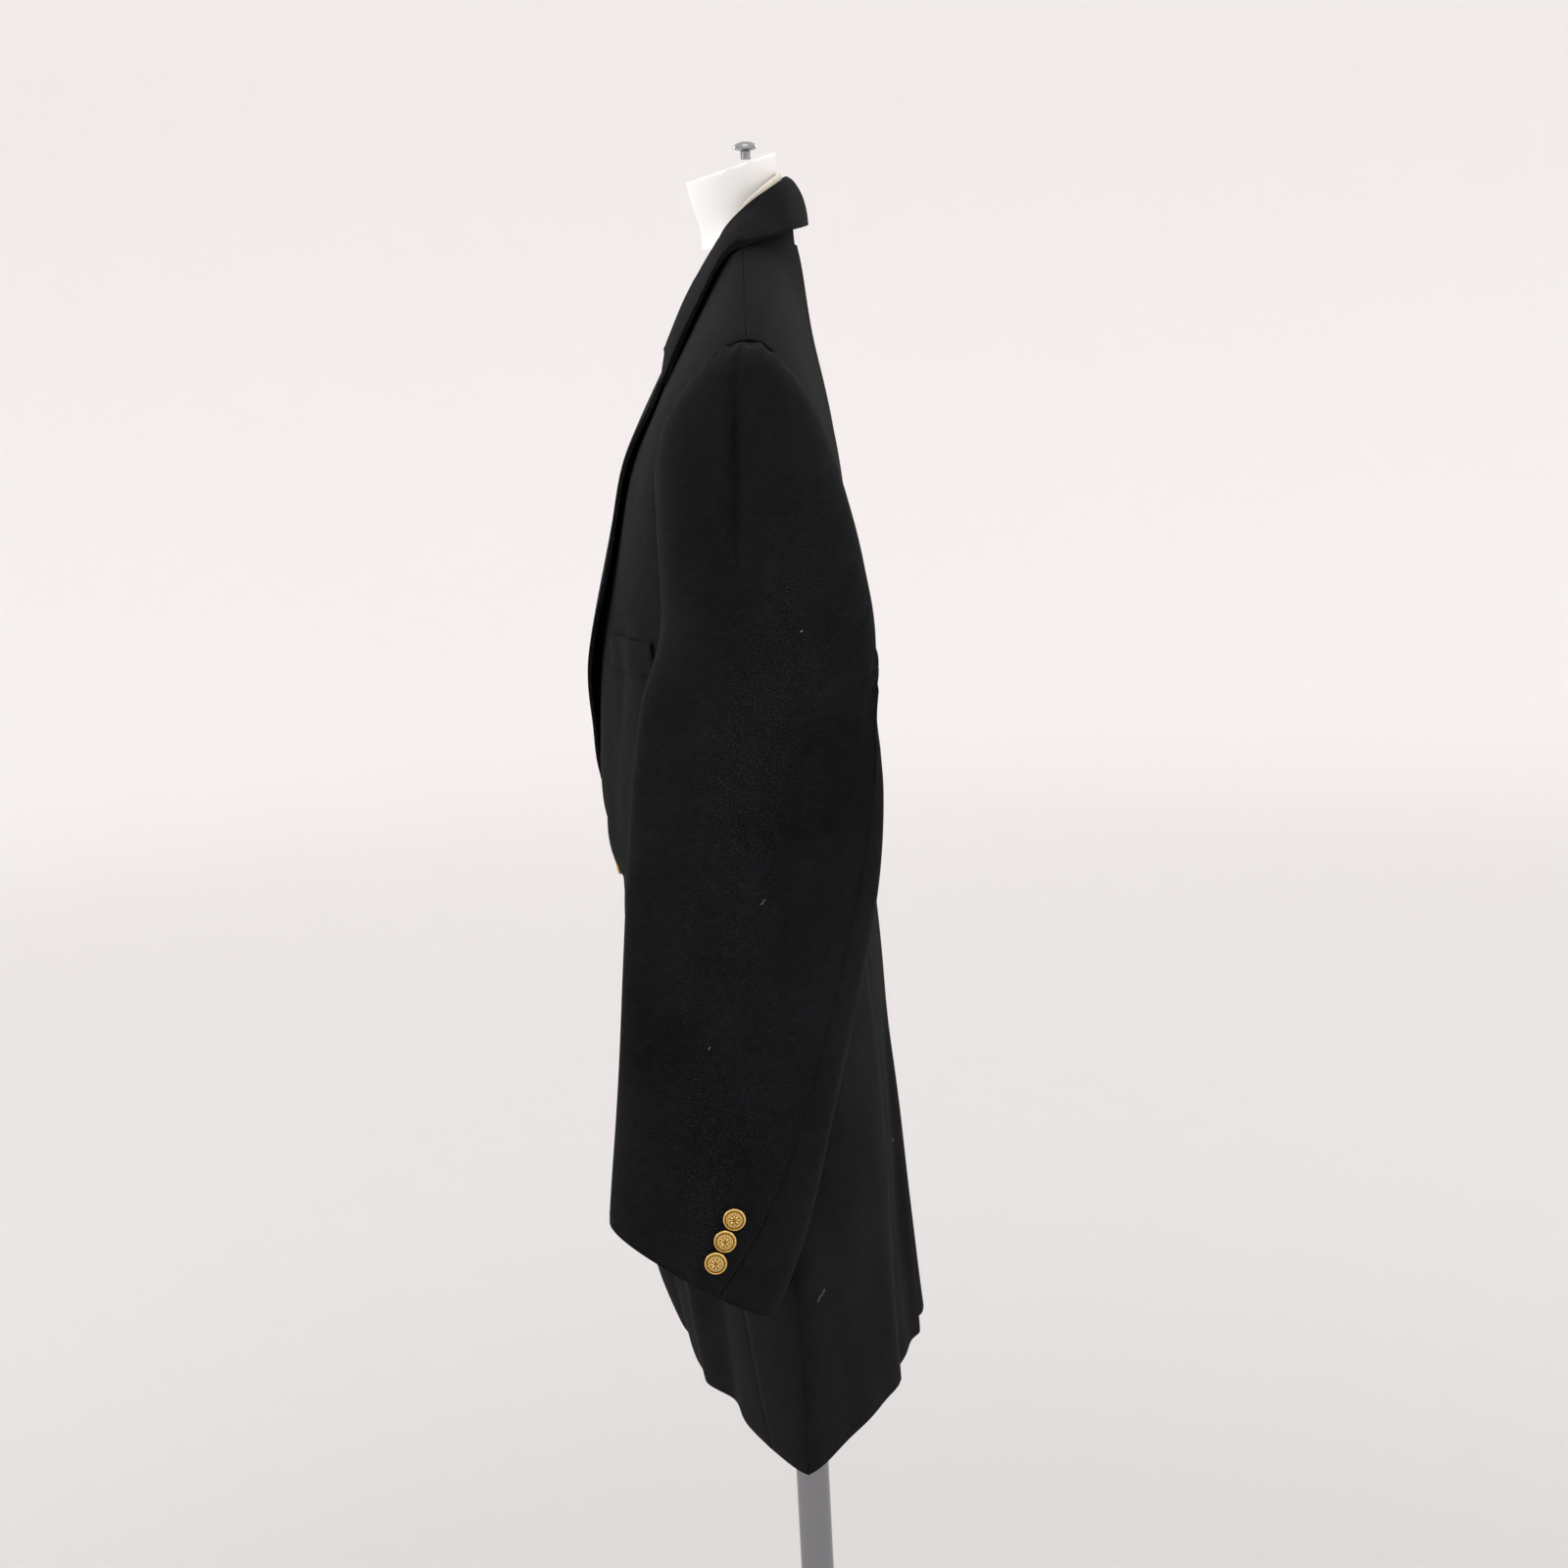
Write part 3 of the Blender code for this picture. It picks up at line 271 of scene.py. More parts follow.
def sewing_thread(settings):
    """Spun polyester sewing thread: matt, a touch paler than the cloth that it sinks into."""
    tree = new_material("spun_polyester_thread")
    place = add(tree, "ShaderNodeTexCoord")
    twist = add(tree, "ShaderNodeTexNoise", {"Scale": TWIST_SCALE, "Detail": 1.0},
                {"Vector": place.outputs["Object"]})
    bump = add(tree, "ShaderNodeBump", {"Strength": 0.4, "Distance": 0.0001},
               {"Height": twist.outputs["Fac"]})
    shader = add(tree, "ShaderNodeBsdfPrincipled",
                 {"Base Color": shade(settings.colour), "Roughness": 0.6, "Sheen Weight": 0.2},
                 {"Normal": bump.outputs["Normal"]})
    finish_material(tree, shader)


def lint_fibre():
    """Cotton lint: pale matt fibres caught on the nap."""
    tree = new_material("cotton_lint")
    shader = add(tree, "ShaderNodeBsdfPrincipled",
                 {"Base Color": shade(LINT_COLOUR), "Roughness": 0.9})
    finish_material(tree, shader)


def moulded_shell(settings):
    """Moulded polyethylene: pale, waxy and smooth, with faint mottling from the mould."""
    tree = new_material("moulded_polyethylene")
    place = add(tree, "ShaderNodeTexCoord")
    mottle = add(tree, "ShaderNodeTexNoise", {"Scale": MOTTLE_SCALE, "Detail": 4.0},
                 {"Vector": place.outputs["Object"]})
    tone = add(tree, "ShaderNodeValToRGB", links={"Fac": mottle.outputs["Fac"]})
    set_ramp(tone, shade(settings.shell, 0.94), shade(settings.shell))
    dimple = add(tree, "ShaderNodeBump", {"Strength": 0.15, "Distance": 0.0005},
                 {"Height": mottle.outputs["Fac"]})
    shader = add(tree, "ShaderNodeBsdfPrincipled",
                 {"Roughness": 0.42, "IOR": 1.51, "Subsurface Weight": 0.08,
                  "Subsurface Scale": 0.004},
                 {"Base Color": tone.outputs["Color"], "Normal": dimple.outputs["Normal"]})
    finish_material(tree, shader)


def cotton_cover(settings):
    """Knitted cotton cover: cream, matt, with fine upright ribs."""
    tree = new_material("knitted_cotton")
    lines = add(tree, "ShaderNodeUVMap", uv_map="threads")
    ribs = add(tree, "ShaderNodeTexWave", {"Scale": WAVE_LENGTH / RIB_PITCH, "Distortion": 0.3},
               {"Vector": lines.outputs["UV"]}, bands_direction="X")
    bump = add(tree, "ShaderNodeBump", {"Strength": 0.4, "Distance": 0.0003},
               {"Height": ribs.outputs["Fac"]})
    # The grooves between the ribs are painted a little darker, as shade
    tone = add(tree, "ShaderNodeValToRGB", links={"Fac": ribs.outputs["Fac"]})
    set_ramp(tone, shade(settings.cover, 0.88), shade(settings.cover))
    shader = add(tree, "ShaderNodeBsdfPrincipled", {"Roughness": 0.9, "Sheen Weight": 0.1},
                 {"Base Color": tone.outputs["Color"], "Normal": bump.outputs["Normal"]})
    finish_material(tree, shader)


def plated_steel(settings):
    """Chrome-plated steel tube, polished round its length: bright, with faint rings of polish."""
    tree = new_material("chrome_plated_steel")
    place = add(tree, "ShaderNodeTexCoord")
    rings = add(tree, "ShaderNodeMapping", {"Scale": POLISH_SCALE},
                {"Vector": place.outputs["Object"]})
    polish = add(tree, "ShaderNodeTexNoise", {"Scale": 1.0, "Detail": 2.0},
                 {"Vector": rings.outputs["Vector"]})
    spread = add(tree, "ShaderNodeMapRange", {"To Min": 0.16, "To Max": 0.30},
                 {"Value": polish.outputs["Fac"]})
    bump = add(tree, "ShaderNodeBump", {"Strength": 0.08, "Distance": 0.0002},
               {"Height": polish.outputs["Fac"]})
    shader = add(tree, "ShaderNodeBsdfPrincipled",
                 {"Base Color": shade(settings.metal), "Metallic": 1.0},
                 {"Roughness": spread.outputs["Result"], "Normal": bump.outputs["Normal"]})
    finish_material(tree, shader)


def pale_board(settings):
    """Painted board: matt and pale, toned down under the lights so that it looks even."""
    tree = new_material("painted_board")
    place = add(tree, "ShaderNodeTexCoord")
    out = add(tree, "ShaderNodeVectorMath", links={0: place.outputs["Object"]},
              operation="LENGTH")
    share = add(tree, "ShaderNodeMapRange", {"From Min": NEAR, "From Max": FAR},
                {"Value": out.outputs["Value"]})
    tone = add(tree, "ShaderNodeValToRGB", links={"Fac": share.outputs["Result"]})
    set_ramp(tone, shade(settings.paper, 0.58), shade(settings.paper))
    shader = add(tree, "ShaderNodeBsdfPrincipled",
                 {"Roughness": 0.95, "Specular IOR Level": 0.0},
                 {"Base Color": tone.outputs["Color"]})
    finish_material(tree, shader)


# Soft folds, as lines on the unrolled cloth

# A fold runs from one turn and height to another. Turns are in degrees about the body's middle,
# 0 at the front and 90 at the wearer's left. Depth is inward, so a ridge is below 0.
Fold = namedtuple("Fold", "turn_a z_a turn_b z_b width depth")
BODY_FOLDS = (
    # drag lines from the fastened button
    Fold(6, 0.998, 34, 1.050, 0.0080, 0.0018),
    Fold(2, 0.982, 52, 0.968, 0.0150, 0.0130),
    Fold(-7, 0.988, -38, 1.036, 0.0085, 0.0016),
    Fold(7, 0.960, 40, 0.930, 0.0090, 0.0014),
    Fold(-6, 0.974, -35, 0.940, 0.0090, 0.0026),
    # chest: a slanting fold beside the sleeve, and its neighbour on the other side
    Fold(58, 1.185, 50, 1.090, 0.0110, 0.0026),
    Fold(-55, 1.195, -48, 1.080, 0.0120, 0.0022),
    Fold(66, 1.150, 57, 1.010, 0.0100, -0.0016),
    Fold(-64, 1.160, -58, 1.020, 0.0100, -0.0014),
    # skirt fronts hang in long soft folds
    Fold(50, 0.900, 62, 0.625, 0.0130, -0.0042),
    Fold(66, 0.820, 72, 0.625, 0.0110, 0.0034),
    Fold(-46, 0.890, -58, 0.625, 0.0150, -0.0036),
    Fold(-65, 0.840, -70, 0.625, 0.0110, 0.0036),
    Fold(28, 0.800, 33, 0.640, 0.0120, 0.0022),
    Fold(-25, 0.810, -31, 0.640, 0.0130, 0.0020),
    # back: blades, waist and skirt
    Fold(148, 1.250, 158, 1.060, 0.0160, 0.0026),
    Fold(-150, 1.240, -161, 1.050, 0.0150, 0.0028),
    Fold(162, 1.130, 172, 0.980, 0.0140, -0.0016),
    Fold(-164, 1.120, -173, 0.985, 0.0130, -0.0018),
    Fold(135, 1.040, 150, 0.930, 0.0120, 0.0022),
    Fold(-133, 1.050, -149, 0.925, 0.0120, 0.0024),
    Fold(150, 0.880, 147, 0.628, 0.0150, -0.0034),
    Fold(-152, 0.870, -148, 0.628, 0.0160, -0.0030),
    Fold(166, 0.860, 165, 0.628, 0.0120, 0.0026),
    Fold(-168, 0.850, -166, 0.628, 0.0130, 0.0028),
    # across the back below the collar
    Fold(150, 1.385, 178, 1.398, 0.0060, 0.0014),
    Fold(-152, 1.380, -178, 1.396, 0.0060, 0.0013),
    Fold(160, 1.365, 179, 1.372, 0.0070, 0.0012),
    # sides of the skirt, between the vent and the front seam
    Fold(92, 0.840, 96, 0.628, 0.0120, 0.0030),
    Fold(-90, 0.850, -95, 0.628, 0.0130, 0.0028),
    Fold(108, 0.830, 112, 0.628, 0.0100, -0.0026),
    Fold(-107, 0.820, -113, 0.628, 0.0100, -0.0028),
)
# The radius on which the body's folds lie, and the one on which its threads do
BODY_ARC = 0.16
BODY_THREADS = 0.2

# On a sleeve the turn is about its own middle: 0 outermost, -90 at its front edge, 90 at its back
SLEEVE_FOLDS = {
    "left": (
        Fold(-9, 1.368, -18, 1.215, 0.0040, 0.0058),
        Fold(3, 1.350, 5, 1.140, 0.0110, 0.0026),
        Fold(18, 1.345, 22, 1.200, 0.0090, -0.0018),
        Fold(38, 1.340, 42, 1.240, 0.0060, 0.0018),
        Fold(-26, 1.335, -24, 1.230, 0.0090, -0.0014),
        Fold(24, 1.130, 46, 0.900, 0.0090, 0.0036),
        Fold(0, 1.140, 16, 0.930, 0.0100, -0.0024),
        Fold(-70, 1.060, -52, 0.985, 0.0070, 0.0018),
        Fold(-74, 1.020, -48, 0.950, 0.0070, 0.0016),
        Fold(-66, 0.950, -30, 0.900, 0.0080, 0.0014),
        Fold(70, 1.030, 40, 0.985, 0.0080, 0.0016),
        Fold(74, 0.985, 44, 0.945, 0.0080, 0.0014),
        Fold(88, 1.150, 60, 1.090, 0.0090, 0.0020),
        Fold(84, 1.110, 58, 1.050, 0.0090, 0.0014),
        Fold(-20, 0.900, -16, 0.800, 0.0110, 0.0022),
        Fold(150, 1.120, 165, 1.000, 0.0100, 0.0016),
        Fold(-150, 1.060, -160, 0.940, 0.0100, 0.0016),
    ),
    "right": (
        Fold(4, 1.370, -2, 1.200, 0.0046, 0.0048),
        Fold(-34, 1.340, -38, 1.230, 0.0065, 0.0016),
        Fold(-18, 1.335, -22, 1.210, 0.0080, -0.0014),
        Fold(24, 1.330, 27, 1.220, 0.0090, -0.0015),
        Fold(30, 1.120, 44, 0.910, 0.0100, 0.0020),
        Fold(-4, 1.130, 12, 0.920, 0.0100, -0.0013),
        Fold(-72, 1.070, -50, 1.000, 0.0070, 0.0016),
        Fold(-70, 1.030, -44, 0.960, 0.0080, 0.0018),
        Fold(-62, 0.940, -34, 0.895, 0.0080, 0.0012),
        Fold(72, 1.040, 42, 0.990, 0.0080, 0.0015),
        Fold(70, 0.990, 46, 0.940, 0.0080, 0.0015),
        Fold(86, 1.145, 62, 1.085, 0.0090, 0.0018),
        Fold(-12, 0.890, -20, 0.800, 0.0110, 0.0013),
        Fold(148, 1.110, 164, 0.990, 0.0100, 0.0015),
        Fold(-152, 1.050, -162, 0.930, 0.0100, 0.0017),
    ),
}
# The radius on which a sleeve's folds and threads lie
SLEEVE_ARC = 0.05
# The middle of a sleeve at each height: distance from the body's middle, and depth
SleeveMiddle = namedtuple("SleeveMiddle", "z x y")
SLEEVE_MIDDLE = (
    SleeveMiddle(0.780, 0.302, -0.072),
    SleeveMiddle(0.880, 0.290, -0.048),
    SleeveMiddle(0.960, 0.2825, -0.031),
    SleeveMiddle(1.045, 0.277, -0.017),
    SleeveMiddle(1.150, 0.272, -0.0075),
    SleeveMiddle(1.250, 0.245, -0.006),
    SleeveMiddle(1.360, 0.225, -0.005),
)

# How the cloth is moved: folds, puckers, seams and pressed places

# A fold is pressed in or out over its run, tapering to both ends. One that ends below HEM_Z keeps
# its depth past its lower end instead, as far as this share of its run, which is beyond the hem.
TAPER = 0.7
HEM_Z = 0.65
PAST_HEM = 1.3

# How steeply the body's outward direction turns with width and depth, which is that of an ellipse
# about BODY_MIDDLE_Y, and with height above the shoulders
WIDTH_SLOPE = 16.0
DEPTH_SLOPE = 82.0
HEIGHT_SLOPE = 60.0
BODY_MIDDLE_Y = -0.004
SHOULDER_Z = 1.33
# The same for a sleeve, as the half width and half depth of its tube and of its head
SLEEVE_WIDTH = 0.033
SLEEVE_DEPTH = 0.07
HEAD_HEIGHT = 0.050
HEAD_Z = 1.29

# Something fades in between two values: it is nothing at start and all at end
Fade = namedtuple("Fade", "start end")
# The body's folds are calmed beside the sleeves, near the neck and at the front edge, by these
# shares, and less at the nape
BESIDE_SLEEVE = Fade(0.195, 0.225)
ABOVE_CUFFS = Fade(0.76, 0.81)
NEAR_NECK = Fade(1.36, 1.41)
FRONT_EDGE = 0.012
SLEEVE_CALM = 0.85
NECK_CALM = 0.9
NAPE = 0.6
EDGE_CALM = 0.5
# A sleeve's folds are calmed on its inner side, and near its edges, where it is sewn down
INNER_SIDE = Fade(0.0, -0.02)
INNER_CALM = 0.75
SEWN_DOWN = Fade(0.0, 0.006)
SEWN_SHARE = 0.2
# Cloth is never quite even: how far it waves in and out, and over what distance
BODY_RIPPLE = 0.0006
BODY_RIPPLE_SIZE = 0.035
SLEEVE_RIPPLE = 0.0005
SLEEVE_RIPPLE_SIZE = 0.030
COLLAR_RIPPLE = 0.0003
COLLAR_RIPPLE_SIZE = 0.02

# The puckers run across the top of the armhole seam, which leans outward from SEAM_X by SEAM_LEAN.
# They are spaced round the sleeve's head, unevenly, by up to UNEVEN radians of a pucker's wave.
PUCKER_PITCH = 0.0115
PUCKER_REACH = 0.017
PUCKER_DEPTH = 0.0014
PUCKER_SINK = 0.4
PUCKER_HEIGHT = Fade(1.265, 1.315)
PUCKER_START = Fade(0.0, 0.004)
SEAM_X = 0.215
SEAM_LEAN = 0.012
SEAM_HEIGHT = Fade(1.30, 1.36)
HEAD_MIDDLE = (-0.005, 1.27)
HEAD_RADIUS = 0.075
UNEVEN = 2.0
UNEVEN_LENGTH = 0.017

# Walls at the seams grow outward by these, to meet their neighbours. A sleeve's grow most near the
# underarm, and below CUFF_Z no more than the body's.
GROW = 0.00030
COLLAR_GROW = 0.0012
SLEEVE_GROW = 0.0014
UNDERARM_GROW = 0.0022
UNDERARM_Z = 1.150
UNDERARM_LENGTH = 0.030
CUFF_Z = 0.86
# The pressed cloth sinks by RIM_SINK within RIM_REACH of its edge, which is found from points
# RIM_STEP apart
RIM_STEP = 0.0012
RIM_REACH = 0.0030
RIM_SINK = 0.00045

# The collar's ends reach down and forward to meet the lapels at the gorge
COLLAR_REACH = 0.0068
REACH_WAY = np.array([0.0, -0.30, -0.95])
GORGE = Fade(1.392, 1.347)
COLLAR_END_Y = -0.02
# The stand of the collar is tucked behind the neckline, by TUCK within TUCK_REACH of it
TUCK = 0.0034
TUCK_REACH = 0.0055
# The collar's fall from the shoulders back, by depth: the heights of its lower edge and of its
# fold, and how far the edge is lifted above the solid's, away from the neckline
CollarRow = namedtuple("CollarRow", "y edge fold lift")
COLLAR_ROWS = (
    CollarRow(0.0045, 1.4155, 1.4375, 0.0000),
    CollarRow(0.0140, 1.4170, 1.4465, 0.0022),
    CollarRow(0.0275, 1.4185, 1.4580, 0.0062),
    CollarRow(0.0340, 1.4205, 1.4590, 0.0052),
    CollarRow(0.0410, 1.4230, 1.4600, 0.0034),
)
OFF_NECKLINE = Fade(0.006, 0.010)
# The foot of the left lapel is rolled down onto its front
FOOT_PRESS = 0.0028
FOOT = Fade(1.105, 1.045)
# The breast welt sinks at its edge and is pressed into its front, least along its upper edge
WELT_SINK = 0.0006
WELT_PRESS = 0.0017
WELT_EASE = 0.75
WELT_RISE = Fade(-0.011, 0.011)

# Behind the arm, where the armhole's part of a sleeve gives way to the free tube below the arm,
# the step is spread: the tube's end goes inward and the armhole's part outward
STEP_DEPTH = 0.0026
STEP_TURNS = (Fade(68, 82), Fade(112, 100))
STEP_ABOVE = (Fade(1.148, 1.160), Fade(1.225, 1.170))
STEP_BELOW = (Fade(1.160, 1.148), Fade(1.085, 1.140))
# On the under sleeve, by the turn round it in degrees: the tube's distance from the sleeve's
# middle, and the armhole's
EaseRow = namedtuple("EaseRow", "turn tube armhole")
EASE_ROWS = (
    EaseRow(103, 0.0710, 0.0710),
    EaseRow(110, 0.0640, 0.0670),
    EaseRow(115, 0.0585, 0.0670),
    EaseRow(120, 0.0530, 0.0665),
    EaseRow(125, 0.0485, 0.0660),
    EaseRow(130, 0.0450, 0.0590),
    EaseRow(135, 0.0420, 0.0490),
    EaseRow(140, 0.0395, 0.0400),
)
EASE_HEIGHT = Fade(1.055, 1.150)

SIDES = ("left", "right")
SIGN = {"left": 1, "right": -1}


def fade(value, zone):
    """From 0 where the value is the zone's start to 1 where it is its end."""
    return np.clip((value - zone.start) / (zone.end - zone.start), 0, 1)


def soft_fade(value, *zones):
    """The same with soft ends, for one zone or for what lies within several."""
    total = 1.0
    for zone in zones:
        share = fade(value, zone)
        total = total * share * share * (3 - 2 * share)
    return total


def column(rows, key, name, at):
    """A table's column at each value of its key, straight between its rows."""
    return np.interp(at, [getattr(row, key) for row in rows],
                     [getattr(row, name) for row in rows])


def fold_shift(folds, arc, turn, z):
    """Inward shift of each point from a table of folds, by its turn in radians and its height."""
    total = np.zeros(len(z))
    for fold in folds:
        start = np.array([math.radians(fold.turn_a) * arc, fold.z_a])
        end = np.array([math.radians(fold.turn_b) * arc, fold.z_b])
        run = end - start
        length = np.linalg.norm(run)
        run /= length
        off_s = turn * arc - start[0]
        off_z = z - start[1]
        along = (off_s * run[0] + off_z * run[1]) / length
        away = off_s * run[1] - off_z * run[0]
        depth = np.sin(np.pi * np.clip(along, 0, 1)) ** TAPER
        if fold.z_b < HEM_Z:
            depth = np.where(along > 0.5, 1.0, depth)
            depth = np.where(along > PAST_HEM, 0.0, depth)
        total += fold.depth * depth * np.exp(-(away / fold.width) ** 2)
    return total


def ripple(co, size, seed):
    """Slow uneven waves from -1 to 1, the same on each run."""
    x, y, z = co.T / size
    wave = np.sin(2.1 * x + 1.3 * z + seed) + np.sin(1.7 * z - 2.3 * y + 2 * seed)
    wave += np.sin(2.9 * y + 0.7 * z + 1.1 * x + 3 * seed)
    return wave / 3


def unit(vectors):
    length = np.linalg.norm(vectors, axis=1)
    return vectors / np.maximum(length, 1e-9)[:, None]


def from_sleeve_middle(co, side):
    """Each point's place from the middle of its sleeve at its height: outward, and depth."""
    middle_x = column(SLEEVE_MIDDLE, "z", "x", co[:, 2])
    middle_y = column(SLEEVE_MIDDLE, "z", "y", co[:, 2])
    return SIGN[side] * co[:, 0] - middle_x, co[:, 1] - middle_y


def body_outward(co):
    """The outward direction of the body's cloth at each point: level, but upward on a shoulder."""
    upward = HEIGHT_SLOPE * np.maximum(co[:, 2] - SHOULDER_Z, 0)
    return unit(np.stack([WIDTH_SLOPE * co[:, 0], DEPTH_SLOPE * (co[:, 1] - BODY_MIDDLE_Y),
                          upward], axis=1))


def sleeve_outward(side):
    """The function that gives the outward direction of a sleeve's cloth."""
    def outward(co):
        out_x, out_y = from_sleeve_middle(co, side)
        upward = np.maximum(co[:, 2] - HEAD_Z, 0) / HEAD_HEIGHT ** 2
        return unit(np.stack([SIGN[side] * out_x / SLEEVE_WIDTH ** 2,
                              out_y / SLEEVE_DEPTH ** 2, upward], axis=1))
    return outward


# Each field below gives how far every point of a piece moves, from the points and their distances
# from the piece's edge


def body_field(co, away):
    """The folds of the body's cloth, which do not ask how far the edge is."""
    x, y, z = co.T
    turn = np.arctan2(x, -y)
    inward = fold_shift(BODY_FOLDS, BODY_ARC, turn, z)
    inward += BODY_RIPPLE * ripple(co, BODY_RIPPLE_SIZE, 1.0)
    inward *= 1 - SLEEVE_CALM * fade(np.abs(x), BESIDE_SLEEVE) * fade(z, ABOVE_CUFFS)
    inward *= 1 - NECK_CALM * fade(z, NEAR_NECK) * np.where(y < 0, 1.0, NAPE)
    inward *= 1 - EDGE_CALM * np.exp(-(x / FRONT_EDGE) ** 2) * (y < 0)
    return -(creases() * inward)[:, None] * body_outward(co)


def collar_field(co, away):
    """The collar's ends brought down to the lapels, its stand tucked in and its edge lifted."""
    y, z = co[:, 1], co[:, 2]
    near_end = fade(z, GORGE) * (y < COLLAR_END_Y)
    moved = COLLAR_REACH * near_end[:, None] ** 2 * REACH_WAY
    neckline = np.minimum(rim_distance("back_left", co), rim_distance("back_right", co))
    fall = Fade(column(COLLAR_ROWS, "y", "fold", y), column(COLLAR_ROWS, "y", "edge", y))
    lift = column(COLLAR_ROWS, "y", "lift", y) * soft_fade(z, fall)
    lift *= soft_fade(neckline, OFF_NECKLINE)
    moved[:, 2] += lift - TUCK * np.exp(-(neckline / TUCK_REACH) ** 2)
    uneven = COLLAR_RIPPLE * ripple(co, COLLAR_RIPPLE_SIZE, 4.0)
    return moved + uneven[:, None] * body_outward(co)


def left_lapel_field(co, away):
    """The body's folds, with the lapel's foot rolled down."""
    foot = FOOT_PRESS * fade(co[:, 2], FOOT) ** 2
    return body_field(co, away) - foot[:, None] * body_outward(co)


def welt_field(co, away):
    """The body's folds, with the welt pressed in below its slanting upper edge."""
    slope, level = np.polyfit(co[:, 0], co[:, 2], 1)
    rise = co[:, 2] - slope * co[:, 0] - level
    press = WELT_PRESS * (1 - WELT_EASE * soft_fade(rise, WELT_RISE))
    return body_field(co, away) - press[:, None] * body_outward(co)


def sleeve_folds(co, side, away):
    """A sleeve's folds, and the puckers at its head."""
    sign = SIGN[side]
    x, y, z = co.T
    out_x, out_y = from_sleeve_middle(co, side)
    inward = fold_shift(SLEEVE_FOLDS[side], SLEEVE_ARC, np.arctan2(out_y, out_x), z)
    inward += SLEEVE_RIPPLE * ripple(co, SLEEVE_RIPPLE_SIZE, 2.0 * sign)
    inward *= 1 - INNER_CALM * fade(out_x, INNER_SIDE)
    inward *= np.maximum(fade(away, SEWN_DOWN), SEWN_SHARE)
    moved = -(creases() * inward)[:, None] * sleeve_outward(side)(co)
    # easing puckered into the top of the armhole seam
    past_seam = sign * x - SEAM_X - SEAM_LEAN * fade(z, SEAM_HEIGHT)
    depth = creases() * PUCKER_DEPTH * fade(z, PUCKER_HEIGHT) * fade(away, PUCKER_START)
    depth *= np.exp(-(past_seam / PUCKER_REACH) ** 2)
    round_seam = np.arctan2(y - HEAD_MIDDLE[0], z - HEAD_MIDDLE[1]) * HEAD_RADIUS
    beat = np.sin(2 * np.pi * round_seam / PUCKER_PITCH
                  + UNEVEN * np.sin(round_seam / UNEVEN_LENGTH))
    moved[:, 2] -= depth * (beat + PUCKER_SINK)
    moved[:, 0] -= sign * depth * beat
    return moved


def eased_step(co, side, under):
    """The hind step between the armhole's part of a sleeve and the tube below the arm, eased."""
    z = co[:, 2]
    out_x, out_y = from_sleeve_middle(co, side)
    turn = np.degrees(np.arctan2(out_y, out_x))
    spread = soft_fade(z, *STEP_ABOVE) - soft_fade(z, *STEP_BELOW)
    shift = STEP_DEPTH * soft_fade(turn, *STEP_TURNS) * spread
    if under:
        tube = column(EASE_ROWS, "turn", "tube", turn)
        armhole = column(EASE_ROWS, "turn", "armhole", turn)
        width = np.maximum(armhole - tube, 1e-6)
        still = np.clip((armhole - np.hypot(out_x, out_y)) / width, 0, 1)
        inside = (turn > EASE_ROWS[0].turn) & (turn < EASE_ROWS[-1].turn)
        shift = shift + np.where(inside, width * still * soft_fade(z, EASE_HEIGHT), 0)
    level = np.stack([SIGN[side] * out_x, out_y, 0 * z], axis=1)
    return shift[:, None] * unit(level)


def sleeve_field(side, under):
    """The field of an upper or an under sleeve."""
    def field(co, away):
        return sleeve_folds(co, side, away) + eased_step(co, side, under)
    return field


def creases():
    """How deep the folds are to be."""
    return bpy.context.scene.blazer_wool.creases


def body_growth(z):
    """How far a wall grows at each height, here the same at all."""
    return GROW


def collar_growth(z):
    return COLLAR_GROW


def sleeve_growth(z):
    """A sleeve's walls grow most at the underarm, where its solids stand furthest apart."""
    seam = SLEEVE_GROW if z > CUFF_Z else GROW
    return seam + UNDERARM_GROW * math.exp(-((z - UNDERARM_Z) / UNDERARM_LENGTH) ** 4)


def body_across(co):
    return np.arctan2(co[:, 0], -co[:, 1]) * BODY_THREADS


def level_across(co):
    return co[:, 0]


def sleeve_across(side):
    """The function that gives each point's distance round a sleeve."""
    def across(co):
        out_x, out_y = from_sleeve_middle(co, side)
        return np.arctan2(out_y, out_x) * SLEEVE_ARC
    return across


# Meshes

# A CAD node's loose triangles are merged where their corners are this near, and paired into
# quads where they fold and skew less than these angles
MERGE = 1e-5
PAIR_FOLD = math.radians(60)
PAIR_SKEW = math.radians(160)
# An edge folded by more than this many degrees is the rim of a cloth's wall
SHARP = 50
# A rim's faces have less area than this many metres times their outline
THIN = 0.004
# A corner whose rim faces look opposite ways, and so nearly cancel, stays where it is
CANCELLED = 0.3
# A face is on the inner side where it looks outward by less than this
INNER = -0.35


def link(name, mesh):
    made = bpy.data.objects.new(name, mesh)
    bpy.context.scene.collection.objects.link(made)
    return made


def keep(thing, node=None):
    """Hands a finished piece to the frame, in place of a CAD node where one is named."""
    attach(thing, "root")
    if node:
        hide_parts(node)


def evaluated(thing):
    """A plain mesh of an object with its modifiers, which are then removed."""
    graph = bpy.context.evaluated_depsgraph_get()
    graph.update()
    mesh = bpy.data.meshes.new_from_object(thing.evaluated_get(graph), depsgraph=graph)
    thing.modifiers.clear()
    thing.data = mesh
    return thing


def subdivide(thing, levels):
    smooth = thing.modifiers.new("Smooth", "SUBSURF")
    smooth.levels = levels
    smooth.render_levels = levels


def facing_out(form, mesh):
    """Turns a built form's faces outward and keeps it as a mesh."""
    bmesh.ops.recalc_face_normals(form, faces=form.faces)
    form.to_mesh(mesh)
    form.free()
    return mesh


